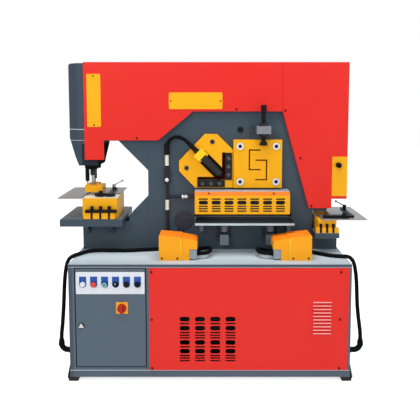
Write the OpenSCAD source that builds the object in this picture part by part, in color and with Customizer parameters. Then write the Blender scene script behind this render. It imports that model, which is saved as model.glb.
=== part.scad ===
// Hydraulic ironworker: punch, angle shear, section shear, flat-bar shear and notcher on one C-frame,
// which stands on a cabinet with the pump unit and the controls.
// Millimetres, +X to the operator's right, +Y away from the operator, +Z up, floor at Z = 0.

/* [Cabinet] */
// Width of the cabinet
cab_w = 1660; // [1650:5:1720]
// Depth of the cabinet
cab_d = 820; // [800:5:880]
// Height of the deck, the cabinet's top, above the floor
deck = 710; // [705:5:760]
// Thickness of the cabinet's walls, floor and back
cab_wall = 8; // [5:1:12]
// Thickness of the deck plate
deck_t = 20; // [12:1:30]
// Depth of the folded frame around the door and the panel
front_t = 12; // [8:1:18]
// Width of the front corner posts that stay visible beside the panel
post_w = 16; // [12:1:24]
// Height of the rail under the panel
low_rail = 44; // [36:1:60]
// Height of the rail above the panel
top_rail = 21; // [16:1:30]
// Height of the feet
foot_h = 25; // [15:1:40]
// Width of a foot under the cabinet
foot_w = 50; // [44:1:70]
// Length of a foot from front to back
foot_l = 70; // [50:1:100]
// Diameter of the anchor holes
anchor_d = 18; // [12:1:22]

/* [Door and controls] */
// Width of the electrical door
door_w = 410; // [400:1:420]
// Distance from the deck's top down to the door's upper edge
door_top = 26; // [24:1:40]
// Height of the door's lower edge above the rail under it
door_low = 22; // [12:1:30]
// Thickness of the electrical door
door_t = 22; // [18:1:30]
// Gap around the electrical door
door_gap = 6; // [6:0.5:8]
// Distance from the cabinet's side to the door
door_margin = 41; // [36:1:50]
// Diameter of the door's pivot pins
hinge_d = 8; // [6:1:10]
// Width of the button plate
buttons_w = 402; // [380:1:404]
// Height of the button plate
buttons_h = 132; // [110:1:150]
// Distance between two controls on the button plate
button_pitch = 64; // [58:1:66]
// Diameter of a button cap
button_d = 30; // [22:1:34]
// Diameter of the main switch knob
switch_d = 52; // [40:1:60]

/* [Front panel] */
// Width of the red panel
panel_w = 1172; // [1150:1:1176]
// Thickness of the sheet panels and covers
sheet_t = 3; // [2:0.5:5]
// Width of a vent slot
vent_w = 60; // [40:1:70]
// Distance between two columns of vents
vent_pitch = 90; // [80:1:110]

/* [Frame] */
// Thickness of each frame plate
plate_t = 40; // [30:1:50]
// Space between the two frame plates
plate_gap = 110; // [108:1:130]
// Distance from the middle to the left end of the frame's foot
frame_left = 817; // [800:1:822]
// Distance from the middle to the right end of the frame's foot
frame_right = 817; // [811:1:822]
// Height of the frame above the deck
frame_h = 1180; // [1170:1:1230]
// Depth of the throat: distance from the middle to its inner wall
throat_x = 395; // [380:1:430]
// Distance from the frame plates to the covers
cover_gap = 24; // [18:1:40]
// Height of the covers above the frame
cover_over = 13; // [8:1:20]

/* [Punch station] */
// Distance of the punch axis left of the middle
punch_off = 768; // [760:1:770]
// Width of the cylinder housing
head_w = 245; // [230:1:260]
// Height of the cylinder housing's top above the deck
head_h = 1187; // [1170:1:1200]
// Height of the punch nose's lower face above the deck
nose_h = 543; // [535:1:560]
// Diameter of the punch ram
ram_d = 60; // [50:1:70]
// Diameter of the punch cylinder's bore
cyl_bore = 150; // [120:1:160]
// Diameter of the punch tip
punch_d = 22; // [12:1:30]
// Stroke of the punch
punch_stroke = 60; // [40:1:60]
// Height of the punch table's top above the deck
table_h = 220; // [210:1:230]
// Thickness of the punch table
table_t = 48; // [36:1:60]
// Width of the punch table
table_w = 390; // [370:1:400]
// Depth of the work tables and gauge plates
table_d = 400; // [390:1:440]
// Height of the die bolster
bolster_h = 128; // [120:1:128]
// Diameter of the die
die_d = 50; // [40:1:56]
// Thickness of the gauge plates
gauge_t = 6; // [4:1:8]

/* [Shears] */
// Distance of the beam's pivot left of the middle
pivot_off = 169; // [165:1:175]
// Height of the beam's pivot above the deck
pivot_h = 190; // [185:1:192]
// Diameter of the pivot pin
pivot_d = 90; // [70:1:100]
// Thickness of the rocker beam
beam_t = 56; // [50:1:60]
// Turn of the beam at full stroke, in degrees
beam_turn = 4; // [3:0.5:4]
// Height of the shear table's top above the deck
feed_h = 209.5; // [205:0.5:212]
// Thickness of the shear table
feed_t = 19.5; // [14:0.5:25]
// Reach of the shear table in front of the frame
feed_reach = 150; // [130:1:170]
// Length of the flat-bar blades
blade_w = 621; // [600:1:621]
// Height of the lower flat-bar blade
blade_h = 40; // [30:1:50]
// Thickness of the angle plate
angle_t = 30; // [25:1:40]
// Thickness of the section plate
section_t = 40; // [30:1:46]
// Width of the section slots
section_slot = 8.5; // [7:0.5:11]
// Diameter of the angle hold-down cylinder
hold_d = 47; // [40:1:52]
// Diameter of the section hold-down screw
screw_d = 28; // [20:1:30]
// Reach of the guard in front of the frame
guard_reach = 118; // [105:1:130]
// Height of the guard
guard_h = 141; // [130:1:150]
// Diameter of the shear cylinder
shear_d = 100; // [90:1:106]

/* [Notcher] */
// Height of the notch bolster's top above the deck
notch_h = 212; // [205:1:215]
// Width of the notch punch
notch_w = 71; // [60:1:75]
// Depth of the notch punch
notch_d = 84; // [70:1:90]
// Clearance between the notch punch and its die
notch_clear = 4; // [4:0.5:6]

/* [Pedals] */
// Length of a pedal
pedal_l = 229; // [225:1:240]
// Depth of a pedal
pedal_d = 140; // [120:1:144]
// Height of a pedal at its open end
pedal_h = 152; // [140:1:165]
// Wall of the pedal hood
hood_t = 8; // [6:1:12]
// Diameter of the pedal cords
cord_d = 23; // [16:1:25]

/* [Hidden] */
$fn = 48;

// Colours
red = [0.92, 0.21, 0.18];
slate = [0.36, 0.42, 0.47];
frame_grey = [0.25, 0.31, 0.36];
yellow = [0.99, 0.72, 0.07];
orange = [1.0, 0.62, 0.08];
black = [0.05, 0.05, 0.06];
steel = [0.6, 0.6, 0.6];
light = [0.72, 0.77, 0.81];

// Fits
run = 0.05;
free = 0.4;
cut = 1;

// Cabinet places
side_x = cab_w / 2;
front_y = -cab_d / 2;
floor_z = foot_h + cab_wall;
seam = 0.4;
door_x0 = -side_x + door_margin;
door_x1 = door_x0 + door_w;
door_z0 = foot_h + low_rail + door_low;
door_z1 = deck - door_top;
door_mid_y = front_y + door_t / 2;
hinge_x = door_x1 - 10;
hinge_in = 12;
divider_x = door_x1 + door_gap + cab_wall;
panel_x1 = side_x - post_w;
panel_x0 = panel_x1 - panel_w;
panel_z0 = foot_h + low_rail;
panel_z1 = deck - top_rail;
panel_lap = 18;
panel_y = front_y - sheet_t;
anchor_x = side_x - 22;
anchor_y = cab_d / 2 - foot_l / 2;
left_elbow = 56;
right_elbow = 67;
elbow_h = 44;
elbow_r = 38;
gland_y = front_y + 30;
gland_z = 180;

// Control places
buttons_x0 = (door_x0 + door_x1) / 2 - buttons_w / 2;
buttons_z1 = door_z1 - 19;
buttons_z0 = buttons_z1 - buttons_h;
button_z = buttons_z0 + 60;
button_x = [for (i = [0:5]) buttons_x0 + buttons_w / 2 + (i - 2.5) * button_pitch];
tab_r = 20.5;
tab_h = 45;
tab_t = 2;
tab_y = panel_y - tab_t;
stem_d = 16;
cap_t = 11;
button_travel = 4;
lamp_i = 0;
switch_x = door_x1 - 138;
switch_z = door_z1 - 235;
switch_side = 70;
lock_x = door_x0 + 31;
lock_z = (door_z0 + door_z1) / 2 - 47.5;
lock_d = 34;

// Frame places
plate_in = plate_gap / 2;
plate_out = plate_in + plate_t;
frame_z = deck + frame_h;
cover_y = plate_out + cover_gap;
cover_front = -cover_y - sheet_t;
cover_z = frame_z + cover_over;
cover_x0 = -790;
cover_seam = 455;
cover_x1 = 868;
column_x = cover_x1 - 18;
tab_z = deck + 582;
tab_x1 = -668;
arm_z = deck + 705;
arm_x = -327;
bridge_x = -106;
bridge_z = deck + 887;
column_z = deck + 273;
slant_x = 629;
column_step_x = 772;
column_step_z = deck + 333;

// Punch places
punch_x = -punch_off;
head_x1 = -650;
head_x0 = head_x1 - head_w;
head_z1 = deck + head_h;
joint_z = deck + 774;
nose_z = deck + nose_h;
taper_z = nose_z + 175;
head_y = cover_y - 1;
chamfer_x = 64;
chamfer_y = 45;
nose_taper = 62;
nose_in = 20;
nose_lean = 39;
ram_z = nose_z - 34;
piston_z = head_z1 - 47;
piston_t = 60;
collar_d = 104;
collar_t = 25;
sleeve_d = 26;
stem_z = 12;
sleeves = [[-22, -62], [-2, 62]];
sleeve_z = nose_z - 103;
stripper_t = 42;
stripper_gap = 16;
table_z = deck + table_h;
table_x0 = -935;
table_y = table_d / 2;
bolster_z = table_z + bolster_h;
bolster_x0 = punch_x - 29;
bolster_x1 = -580;
bolster_y0 = -175;
bolster_y1 = 75;
flange_y = -table_y;
flange_h = 40;
gauge_z = bolster_z + gauge_t;
gauge_x0 = -944;
slug_d = 40;
die_h = 40;
die_entry = 26;
punch_tip_z = bolster_z + punch_stroke - die_entry;

// Shear places
pivot_x = -pivot_off;
pivot_z = deck + pivot_h;
feed_z = deck + feed_h;
blade_x0 = -98;
blade_x1 = blade_x0 + blade_w;
slot_x0 = blade_x0 - 2;
slot_x1 = blade_x1 + 2;
slot_z1 = feed_z + 28;
shear_y = plate_in - 3;
shear_gap = 0.3;
beam_low = feed_z + 52.5;
beam_y = beam_t / 2;
angle_y = -plate_out - angle_t;
angle_x1 = 145;
angle_z0 = deck + 406;
heel_x = 96;
heel_z = angle_z0 + 48;
leg_gap = 20;
leg_l = 176;
fixed_w = 43;
hold_x = -62;
hold_z = heel_z + 163;
hold_y = angle_y - 5;
block_w = 71;
block_l = 46;
hold_l = 176;
hold_rod_d = 24;
hold_rod_out = 16;
section_x0 = 148;
section_z0 = angle_z0;
section_w = 305;
section_h = 303;
section_y = -plate_out - section_t;
section_mid_x = section_x0 + section_w / 2;
section_mid_z = section_z0 + 144;
window_w = 135;
window_h = 212;
screw_x = 332;
screw_y = section_y - 33;
bracket_z0 = deck + 749;
bracket_z1 = bracket_z0 + 48;
nut_t = 15;
foot_z = section_z0 + 272;
guard_x0 = -94;
guard_x1 = 494;
guard_z0 = feed_z + 43.5;
guard_z1 = guard_z0 + guard_h;
guard_y = -plate_out - guard_reach;
support_x = [90, 384];
pin_x = 600;
pin_d = 40;
pin_z = deck + 450;
pin_rise = pin_z - pivot_z;
pin_slide = pin_rise * sin(beam_turn) + 1;
rod_d = 50;
barrel_z0 = pin_z + 175;
barrel_z1 = barrel_z0 + 425;

// Notch places
notch_z = deck + notch_h;
notch_x0 = 697;
notch_seat = deck + 100;
notch_plate_t = 33;
notch_wall_x = 655;
jaw_z = deck + 250;
jaw_x = 745;
notch_gap_z = jaw_z + 5;
notch_gauge_z = notch_z + gauge_t;
notch_bolster_x0 = 676;
notch_bolster_x1 = 790;
notch_die_drift = 6;

// Pedal places
pedal_x = -305;
pedal_mid = 151.5;
pedal_room = 45;
support_d = 60;
pedal_y0 = -plate_out - support_d - pedal_room - pedal_d;
hood_l = pedal_l - 47;
hood_step = 132;
foot_room = 120;
treadle_x = 104;
treadle_z = 40;
terminal_l = 43;
terminal_y = [pedal_y0 + 10, pedal_y0 + 66];

// Outlines in the XZ plane
frame_pts = [
    [-frame_left, deck], [frame_right, deck], [frame_right, notch_seat],
    [notch_wall_x, notch_seat], [notch_wall_x, jaw_z], [jaw_x, jaw_z],
    [column_step_x, column_step_z], [column_x, column_step_z], [column_x, frame_z],
    [head_x1, frame_z], [head_x1, arm_z - 4], [-580, arm_z - 4],
    [-throat_x, deck + 512], [-throat_x, deck + 342], [-520, table_z - 8],
    [-520, table_z - table_t], [-frame_left, table_z - table_t]
];
left_cover_pts = [
    [cover_x0, tab_z], [tab_x1, tab_z], [tab_x1, arm_z], [arm_x, arm_z],
    [bridge_x, bridge_z], [cover_seam, bridge_z], [cover_seam, cover_z], [cover_x0, cover_z]
];
right_cover_pts = [
    [cover_seam + cut, bridge_z], [slant_x, column_z], [column_step_x, column_z],
    [column_step_x, column_step_z], [cover_x1, column_step_z], [cover_x1, cover_z],
    [cover_seam + cut, cover_z]
];
rear_cover_pts = [
    [head_x1 + cut, arm_z], [arm_x, arm_z], [bridge_x, bridge_z], [cover_seam, bridge_z],
    [slant_x, column_z], [column_step_x, column_z], [column_step_x, column_step_z],
    [cover_x1, column_step_z], [cover_x1, cover_z], [head_x1 + cut, cover_z]
];
beam_pts = [
    [pivot_x - 75, pivot_z - 40], [pivot_x - 40, pivot_z - 75], [pivot_x + 40, pivot_z - 75],
    [slot_x0 - 8, pivot_z - 30], [slot_x0 - 8, beam_low], [slot_x1 + 5, beam_low],
    [notch_x0 - 30, beam_low + 58], [notch_x0 + notch_w + 20, beam_low + 58],
    [notch_x0 + notch_w + 20, pin_z + 70], [pin_x - 70, pin_z + 100],
    [section_x0 + section_w + 20, section_z0 + section_h + 50],
    [-20, section_z0 + section_h + 50], [-215, hold_z - 40], [pivot_x - 75, pivot_z + 40]
];
angle_pts = [
    [-95, angle_z0], [angle_x1, angle_z0], [angle_x1, angle_z0 + 239], [45, angle_z0 + 339],
    [-33, angle_z0 + 339], [-195, angle_z0 + 170], [-195, angle_z0 + 106]
];

// Cord routes, from the pedal's terminal box over the deck and down to the gland on the cabinet's side
lie = deck + cord_d / 2 + 0.3;
cord_y = (terminal_y[0] + terminal_y[1]) / 2;
cord_z = deck + 35;
left_end = pedal_x + hood_l + terminal_l + 1;
right_end = 2 * pedal_mid - left_end;
left_route = [
    [left_end, cord_y, cord_z], [left_end + 24, cord_y, cord_z], [-27, -297, cord_z],
    [-5, -277, cord_z + 4], [3, -247, cord_z + 9], [-9, -216, cord_z + 7], [-42, -190, cord_z - 4],
    [-90, -168, lie + 6], [-150, -147, lie], [-240, -134, lie], [-330, -134, lie], [-420, -150, lie],
    [-520, -166, lie], [-620, -166, lie], [-710, -166, lie], [-765, -186, lie], [-805, -235, lie],
    [-side_x - 3, -285, lie], [-side_x - 19, -302, deck + 2], [-side_x - 30, -314, deck - 20],
    [-side_x - 36, -324, deck - 55], [-side_x - 41, -334, deck - 110], [-side_x - 44, -342, deck - 180],
    [-side_x - 46, -350, deck - 250], [-side_x - 49, -358, deck - 320], [-side_x - 53, -367, gland_z + 140],
    [-side_x - left_elbow, -375, gland_z + 95], [-side_x - left_elbow, gland_y, gland_z + elbow_h + 24],
    [-side_x - left_elbow, gland_y, gland_z + elbow_h]
];
right_route = [
    [right_end, cord_y, cord_z], [right_end - 24, cord_y, cord_z], [330, -297, cord_z],
    [304, -279, cord_z + 2], [291, -251, cord_z + 5], [299, -222, cord_z + 2], [330, -197, cord_z - 8],
    [375, -182, lie + 4], [430, -176, lie], [520, -174, lie], [600, -176, lie], [648, -206, lie],
    [690, -240, lie], [740, -272, lie], [800, -288, lie], [side_x + 5, -298, lie],
    [side_x + 23, -307, deck + 2], [side_x + 36, -316, deck - 20], [side_x + 43, -324, deck - 55],
    [side_x + 49, -334, deck - 120], [side_x + 51, -342, deck - 190], [side_x + 53, -349, deck - 260],
    [side_x + 58, -357, deck - 330], [side_x + 64, -367, gland_z + 140],
    [side_x + right_elbow, -375, gland_z + 95], [side_x + right_elbow, gland_y, gland_z + elbow_h + 24],
    [side_x + right_elbow, gland_y, gland_z + elbow_h]
];

// Hose route, from the hydraulic line's top fitting to the hold-down block
hose_d = 22;
line_x = -273;
line_y = -plate_out - 14;
line_top = deck + 613;
hose_y = hold_y - 12;
block_reach = block_l / 2 * sin(45);
hose_route = [
    [line_x, line_y, line_top], [line_x - 1, line_y - 1, line_top + 37],
    [line_x + 5, line_y - 4, line_top + 72],
    [line_x + 23, line_y - 9, line_top + 99], [line_x + 51, line_y - 16, line_top + 114],
    [line_x + 83, line_y - 23, line_top + 114], [hold_x - 96, hose_y + 6, hold_z + 93],
    [hold_x - 68, hose_y + 1, hold_z + 68], [hold_x - 42, hose_y, hold_z + 42],
    [hold_x - block_reach, hose_y, hold_z + block_reach]
];

// A box between corners
module span(x, y, z) translate([x[0], y[0], z[0]]) cube([x[1] - x[0], y[1] - y[0], z[1] - z[0]]);

// An XZ outline between two Y planes
module slab(pts, y) translate([0, y[1], 0]) rotate([90, 0, 0]) linear_extrude(y[1] - y[0]) polygon(pts);

// A YZ outline between two X planes
module side_slab(pts, x) translate([x[0], 0, 0]) rotate([90, 0, 90]) linear_extrude(x[1] - x[0]) polygon(pts);

// Round bars along each axis
module rod_x(y, z, x, d) translate([x[0], y, z]) rotate([0, 90, 0]) cylinder(d = d, h = x[1] - x[0]);
module rod_y(x, z, y, d) translate([x, y[1], z]) rotate([90, 0, 0]) cylinder(d = d, h = y[1] - y[0]);
module rod_z(x, y, z, d) translate([x, y, z[0]]) cylinder(d = d, h = z[1] - z[0]);

// A slot with round ends, along X, through two Y planes
module slot(x, z, w, h, y) {
    span([x - w / 2 + h / 2, x + w / 2 - h / 2], y, [z - h / 2, z + h / 2]);
    for (s = [-1, 1]) rod_y(x + s * (w - h) / 2, z, y, h);
}

// A plate with rounded corners between two Y planes
module round_plate(x, z, y, r) {
    span([x[0] + r, x[1] - r], y, z);
    span(x, y, [z[0] + r, z[1] - r]);
    for (cx = [x[0] + r, x[1] - r], cz = [z[0] + r, z[1] - r]) rod_y(cx, cz, y, 2 * r);
}

// A socket screw whose head stands on the plane at y and faces the operator
module screw_head(x, z, y, d, h) difference() {
    rod_y(x, z, [y - h, y], d);
    translate([x, y - h / 2, z]) rotate([90, 0, 0]) cylinder(d = d * 0.55, h = h, $fn = 6);
}

// Outline moved inwards by t, for a counter-clockwise outline
function left_of(p, q) = let (d = q - p) [-d[1], d[0]] / norm(d);
function inset(pts, t) = let (n = len(pts)) [
    for (i = [0:n - 1])
        let (b = pts[i], u = left_of(pts[(i + n - 1) % n], b), v = left_of(b, pts[(i + 1) % n]))
        b + (u + v) * t / (1 + u * v)
];

// A round tube swept along a route, closed at both ends
function unit(v) = v / norm(v);
function tangent(p, i) = unit(p[min(i + 1, len(p) - 1)] - p[max(i - 1, 0)]);
function across(t) = abs(t[2]) > 0.9 ? unit(cross(t, [0, 1, 0])) : unit(cross(t, [0, 0, 1]));
function carried(p, i) = i == 0
    ? across(tangent(p, 0))
    : let (t = tangent(p, i), s = carried(p, i - 1)) unit(s - t * (s * t));
module tube(p, d, sides = 10) {
    n = len(p);
    points = [
        for (i = [0:n - 1])
            let (t = tangent(p, i), a = carried(p, i), b = cross(t, a))
            for (k = [0:sides - 1]) p[i] + (a * cos(360 * k / sides) + b * sin(360 * k / sides)) * d / 2
    ];
    walls = [
        for (i = [0:n - 2], k = [0:sides - 1])
            let (m = (k + 1) % sides)
            [i * sides + k, (i + 1) * sides + k, (i + 1) * sides + m, i * sides + m]
    ];
    first = [[for (k = [0:sides - 1]) k]];
    last = [[for (k = [0:sides - 1]) n * sides - 1 - k]];
    polyhedron(points, concat(walls, first, last), convexity = 8);
}

// Cabinet

// Butt seams between the cabinet's plates, posts and rails
module cabinet_seams() {
    x = [-side_x - cut, side_x + cut];
    y = [front_y - cut, cab_d / 2 + cut];
    z = [floor_z, deck - deck_t];
    span(x, y, [floor_z, floor_z + seam]);
    span(x, y, [deck - deck_t - seam, deck - deck_t]);
    span(x, [front_y + front_t, front_y + front_t + seam], z);
    span(x, [cab_d / 2 - cab_wall - seam, cab_d / 2 - cab_wall], z);
    for (e = [door_x0 - door_gap, panel_x0 + panel_lap])
        span([e, e + seam], [front_y - cut, front_y + front_t + cut], z);
    for (e = [door_x1 + door_gap, panel_x1 - panel_lap])
        span([e - seam, e], [front_y - cut, front_y + front_t + cut], z);
}

module base_cabinet() color(slate) {
    difference() {
        union() {
            span([-side_x, side_x], [front_y, cab_d / 2], [deck - deck_t, deck]);
            span([-side_x, side_x], [front_y, cab_d / 2], [foot_h, floor_z]);
            span([-side_x, -side_x + cab_wall], [front_y, cab_d / 2], [foot_h, deck]);
            span([side_x - cab_wall, side_x], [front_y, cab_d / 2], [foot_h, deck]);
            span([-side_x, side_x], [cab_d / 2 - cab_wall, cab_d / 2], [foot_h, deck]);
            span([divider_x, divider_x + cab_wall], [front_y, cab_d / 2], [foot_h, deck]);
            span([-side_x, side_x], [front_y, front_y + front_t], [foot_h, deck]);
        }
        span([door_x0 - door_gap, door_x1 + door_gap], [front_y - cut, front_y + front_t + cut],
            [door_z0 - door_gap, door_z1 + door_gap]);
        span([panel_x0 + panel_lap, panel_x1 - panel_lap], [front_y - cut, front_y + front_t + cut],
            [panel_z0 + panel_lap, panel_z1 - panel_lap]);
        for (x = [-anchor_x, anchor_x], y = [-anchor_y, anchor_y])
            rod_z(x, y, [foot_h - cut, floor_z + cut], anchor_d);
        cabinet_seams();
    }
    difference() {
        union() {
            rod_z(hinge_x, door_mid_y, [door_z0 - door_gap - 9, door_z0 + hinge_in], hinge_d);
            rod_z(hinge_x, door_mid_y, [door_z1 - hinge_in, door_z1 + door_gap + 9], hinge_d);
            for (z = [door_z0 - door_gap - 9, door_z1 + door_gap])
                span([hinge_x - 12, divider_x - seam], [front_y + front_t, door_mid_y + 10], [z, z + 9]);
        }
        span([-side_x, side_x], [front_y, cab_d / 2], [deck - deck_t - seam, deck]);
    }
}

// Vent rows measured up from the panel's lower edge: height above it, slot height
vent_rows = [
    [58, 9], [74, 9], [89, 9], [116, 29], [143, 9], [170, 29],
    [198, 9], [214, 9], [230, 9], [257, 29], [285, 9], [312, 29]
];
vent_x = panel_x0 + 344;
louvre_x = [panel_x1 - 208, panel_x1 - 102];
louvre_z = panel_z0 + 222;
louvre_pitch = 21;
louvre_n = 10;

module front_panel() color(red) {
    difference() {
        span([panel_x0, panel_x1], [panel_y, front_y], [panel_z0, panel_z1]);
        for (c = [0:3], r = vent_rows)
            slot(vent_x + (c - 1.5) * vent_pitch, panel_z0 + r[0], vent_w, r[1],
                [panel_y - cut, front_y + cut]);
        for (i = [0:louvre_n - 1])
            span(louvre_x, [panel_y - cut, front_y + cut],
                [louvre_z + i * louvre_pitch, louvre_z + i * louvre_pitch + 6]);
    }
    for (i = [0:louvre_n - 1]) {
        z = louvre_z + i * louvre_pitch;
        side_slab([[panel_y, z + 6], [panel_y - 9, z + 1], [panel_y - 9, z + 3], [panel_y, z + 16]],
            louvre_x);
    }
}

module anchor_foot() difference() {
    slab([[-8, 0], [foot_w - 4, 0], [foot_w, foot_h], [0, foot_h], [0, foot_h + 85], [-17, foot_h + 3]],
        [-foot_l / 2, foot_l / 2]);
    rod_z(side_x - anchor_x, 0, [-cut, foot_h + cut], anchor_d);
}

module anchor_feet() color(black) for (y = [-anchor_y, anchor_y]) {
    translate([-side_x, y, 0]) anchor_foot();
    translate([side_x, y, 0]) mirror([1, 0, 0]) anchor_foot();
}

// An elbow gland on the cabinet's right side, open upwards
module cable_gland(reach) {
    translate([0, gland_y, gland_z]) rotate([0, 90, 0]) cylinder(d = cord_d + 18, h = 9, $fn = 6);
    rod_x(gland_y, gland_z, [0, reach - elbow_r], cord_d + 8);
    translate([reach - elbow_r, gland_y, gland_z + elbow_r]) rotate([90, 0, 0]) rotate([0, 0, -90])
        rotate_extrude(angle = 90) translate([elbow_r, 0]) circle(d = cord_d + 8);
    rod_z(reach, gland_y, [gland_z + elbow_r, gland_z + elbow_h], cord_d + 8);
    rod_z(reach, gland_y, [gland_z + elbow_h - 14, gland_z + elbow_h], cord_d + 12);
}

module cable_glands() color(black) {
    translate([side_x, 0, 0]) cable_gland(right_elbow);
    translate([-side_x, 0, 0]) mirror([1, 0, 0]) cable_gland(left_elbow);
}

tank_x = [-240, 330];
tank_y = [-220, 260];
tank_z = floor_z + 330;
motor_d = 200;
motor_x = [-200, 120];
pump_x = 250;
gear_pitch = (deck - deck_t - floor_z - 117) / 3;

module inner_equipment() color(steel) {
    span(tank_x, tank_y, [floor_z, tank_z]);
    rod_x(0, tank_z + motor_d / 2, motor_x, motor_d);
    span([motor_x[0] + 40, motor_x[1] - 40], [-motor_d / 2, motor_d / 2], [tank_z, tank_z + 20]);
    rod_x(0, tank_z + motor_d / 2, [motor_x[1], pump_x], motor_d * 0.6);
    span([motor_x[1] + 40, pump_x], [-60, 60], [tank_z, tank_z + 50]);
    span([-side_x + cab_wall, divider_x], [150, 154], [floor_z, deck - deck_t]);
    for (r = [0:2], c = [0:3]) {
        x = door_x0 + 40 + c * 90;
        z = floor_z + 90 + r * gear_pitch;
        span([x, x + 70], [70, 150], [z, z + 100]);
    }
}

// Door and controls

module door_holes(y) {
    for (i = [1:5]) rod_y(button_x[i], button_z, y, stem_d + 2 * free);
    rod_y(switch_x, switch_z, y, stem_d + 2 * free);
}

module cabinet_door() color(slate) difference() {
    span([door_x0, door_x1], [front_y, front_y + door_t], [door_z0, door_z1]);
    for (z = [[door_z0 - cut, door_z0 + hinge_in + 1], [door_z1 - hinge_in - 1, door_z1 + cut]])
        rod_z(hinge_x, door_mid_y, z, hinge_d + 2 * run);
    door_holes([front_y - cut, front_y + door_t + cut]);
    rod_y(lock_x, lock_z, [front_y - cut, front_y + door_t + cut], stem_d + 2 * free);
}

module button_tab(x) {
    span([x - tab_r, x + tab_r], [tab_y, panel_y], [button_z, button_z + tab_h]);
    rod_y(x, button_z, [tab_y, panel_y], 2 * tab_r);
}

module control_plates() color("white") {
    difference() {
        union() {
            round_plate([buttons_x0, buttons_x0 + buttons_w], [buttons_z0, buttons_z1],
                [panel_y, front_y], 6);
            round_plate([switch_x - switch_side / 2, switch_x + switch_side / 2],
                [switch_z - switch_side / 2, switch_z + switch_side / 2], [panel_y, front_y], 4);
            for (x = button_x) button_tab(x);
        }
        door_holes([tab_y - cut, front_y + cut]);
    }
    rod_y(button_x[lamp_i], button_z, [tab_y - 8, tab_y], button_d);
}

module push_button(i, shade) color(shade) {
    cap_back = tab_y - button_travel - 0.5;
    rod_y(button_x[i], button_z, [cap_back - cap_t, cap_back], button_d);
    rod_y(button_x[i], button_z, [cap_back, front_y + door_t + 6], stem_d);
}

module red_button() push_button(1, red);
module green_button() push_button(2, "teal");
module left_black_button() push_button(4, black);
module right_black_button() push_button(5, black);

module mode_selector() color(black) {
    rod_y(button_x[3], button_z, [tab_y - 8, tab_y - free], button_d);
    span([button_x[3] - 4, button_x[3] + 4], [tab_y - 16, tab_y - 8], [button_z - 13, button_z + 13]);
    rod_y(button_x[3], button_z, [tab_y - free, front_y + door_t + 6], stem_d);
}

module main_switch() color(red) {
    rod_y(switch_x, switch_z, [panel_y - 14, panel_y - free], switch_d);
    span([switch_x - 7, switch_x + 7], [panel_y - 32, panel_y - 14], [switch_z - 24, switch_z + 24]);
    rod_y(switch_x, switch_z, [panel_y - free, front_y + door_t + 40], stem_d);
}

module door_lock() color(steel) {
    difference() {
        rod_y(lock_x, lock_z, [front_y - 8, front_y - free], lock_d);
        for (a = [90, 210, 330])
            rod_y(lock_x + 8 * cos(a), lock_z + 8 * sin(a), [front_y - 9, front_y - 4], 9);
    }
    rod_y(lock_x, lock_z, [front_y - free, front_y + door_t + 10], stem_d);
    span([lock_x - 8, lock_x + 8], [front_y + door_t + 4, front_y + door_t + 10], [lock_z - 45, lock_z]);
}

// Frame

// A butt seam through a frame plate, beside X = x

module seam_cut(x, y) span([x - seam, x], [y[0] - cut, y[1] + cut], [deck - cut, frame_z + cut]);

module frame_plate(y, slot_low) difference() {
    slab(frame_pts, y);
    seam_cut(-throat_x, y);
    rod_y(pivot_x, pivot_z, [y[0] - cut, y[1] + cut], pivot_d + 2 * run);
    span([slot_x0, slot_x1], [y[0] - cut, y[1] + cut], [slot_low, slot_z1]);
}

module section_window(grow, y)
    span([section_mid_x - window_w / 2 - grow, section_mid_x + window_w / 2 + grow], y,
        [section_mid_z - window_h / 2 - grow, section_mid_z + window_h / 2 + grow]);

module front_frame_plate() color(frame_grey) difference() {
    frame_plate([-plate_out, -plate_in], feed_z - blade_h);
    span([heel_x - leg_l - 10, heel_x + fixed_w + 1], [-plate_out - cut, cut - plate_in],
        [heel_z - fixed_w + 1, heel_z + leg_l + 5]);
    section_window(1, [-plate_out - cut, cut - plate_in]);
    for (x = support_x)
        span([x - 46, x + 42], [-plate_out - cut, 10 - plate_out], [feed_z - 130, feed_z - feed_t - 5]);
}

// Where cut ends leave through the rear plate
drop_grow = 35;
drop_x = [heel_x - leg_l - 40, section_mid_x + window_w / 2 + drop_grow];
drop_z = [section_mid_z - window_h / 2 - drop_grow, section_mid_z + window_h / 2 + drop_grow];

module rear_frame_plate() color(frame_grey) difference() {
    frame_plate([plate_in, plate_out], feed_z - 4);
    span(drop_x, [plate_in - cut, plate_out + cut], drop_z);
    for (x = drop_x) seam_cut(x, [plate_in, plate_out]);
}

// Spacer heights under the frame's top edge
arm_spacer = 220;
bridge_spacer = 60;
column_spacer = 340;
spacer_top = frame_z - 20;

module frame_spacers() color(frame_grey) for (b = [
    [-frame_left + 20, -560, deck, table_z - table_t - 20],
    [notch_wall_x + 20, frame_right - 20, deck, notch_seat - 10],
    [head_x1 + 20, arm_x, spacer_top - arm_spacer, spacer_top],
    [0, 300, spacer_top - bridge_spacer, spacer_top],
    [column_step_x - 50, column_x - 10, spacer_top - column_spacer, spacer_top]
]) span([b[0], b[1]], [-plate_in, plate_in], [b[2], b[3]]);

// A folded cover: a front sheet, edges folded back to the frame from from_x on, and half of the roof
module cover_shell(pts, from_x, to_x) {
    slab(pts, [cover_front, -cover_y]);
    difference() {
        slab(pts, [-cover_y, -plate_out]);
        slab(inset(pts, sheet_t), [-cover_y - cut, cut - plate_out]);
        span([-2 * side_x, from_x], [-cover_y - cut, cut - plate_out], [deck, cover_z + cut]);
    }
    span([from_x, to_x], [-plate_out, 0], [cover_z - sheet_t, cover_z]);
}

module right_wall() span([cover_x1 - sheet_t, cover_x1], [-plate_out, 0], [column_step_z, cover_z - sheet_t]);

module left_front_cover() color(red) cover_shell(left_cover_pts, head_x1 + cut, cover_seam);

module right_front_cover() color(red) {
    cover_shell(right_cover_pts, cover_seam + cut, cover_x1);
    right_wall();
}

// A hood behind the shear openings, open below, where offcuts drop
offcut_x = [-150, 430];
offcut_z = [angle_z0 - 31, section_z0 + section_h + 11];
offcut_y = plate_out + 120;

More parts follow.
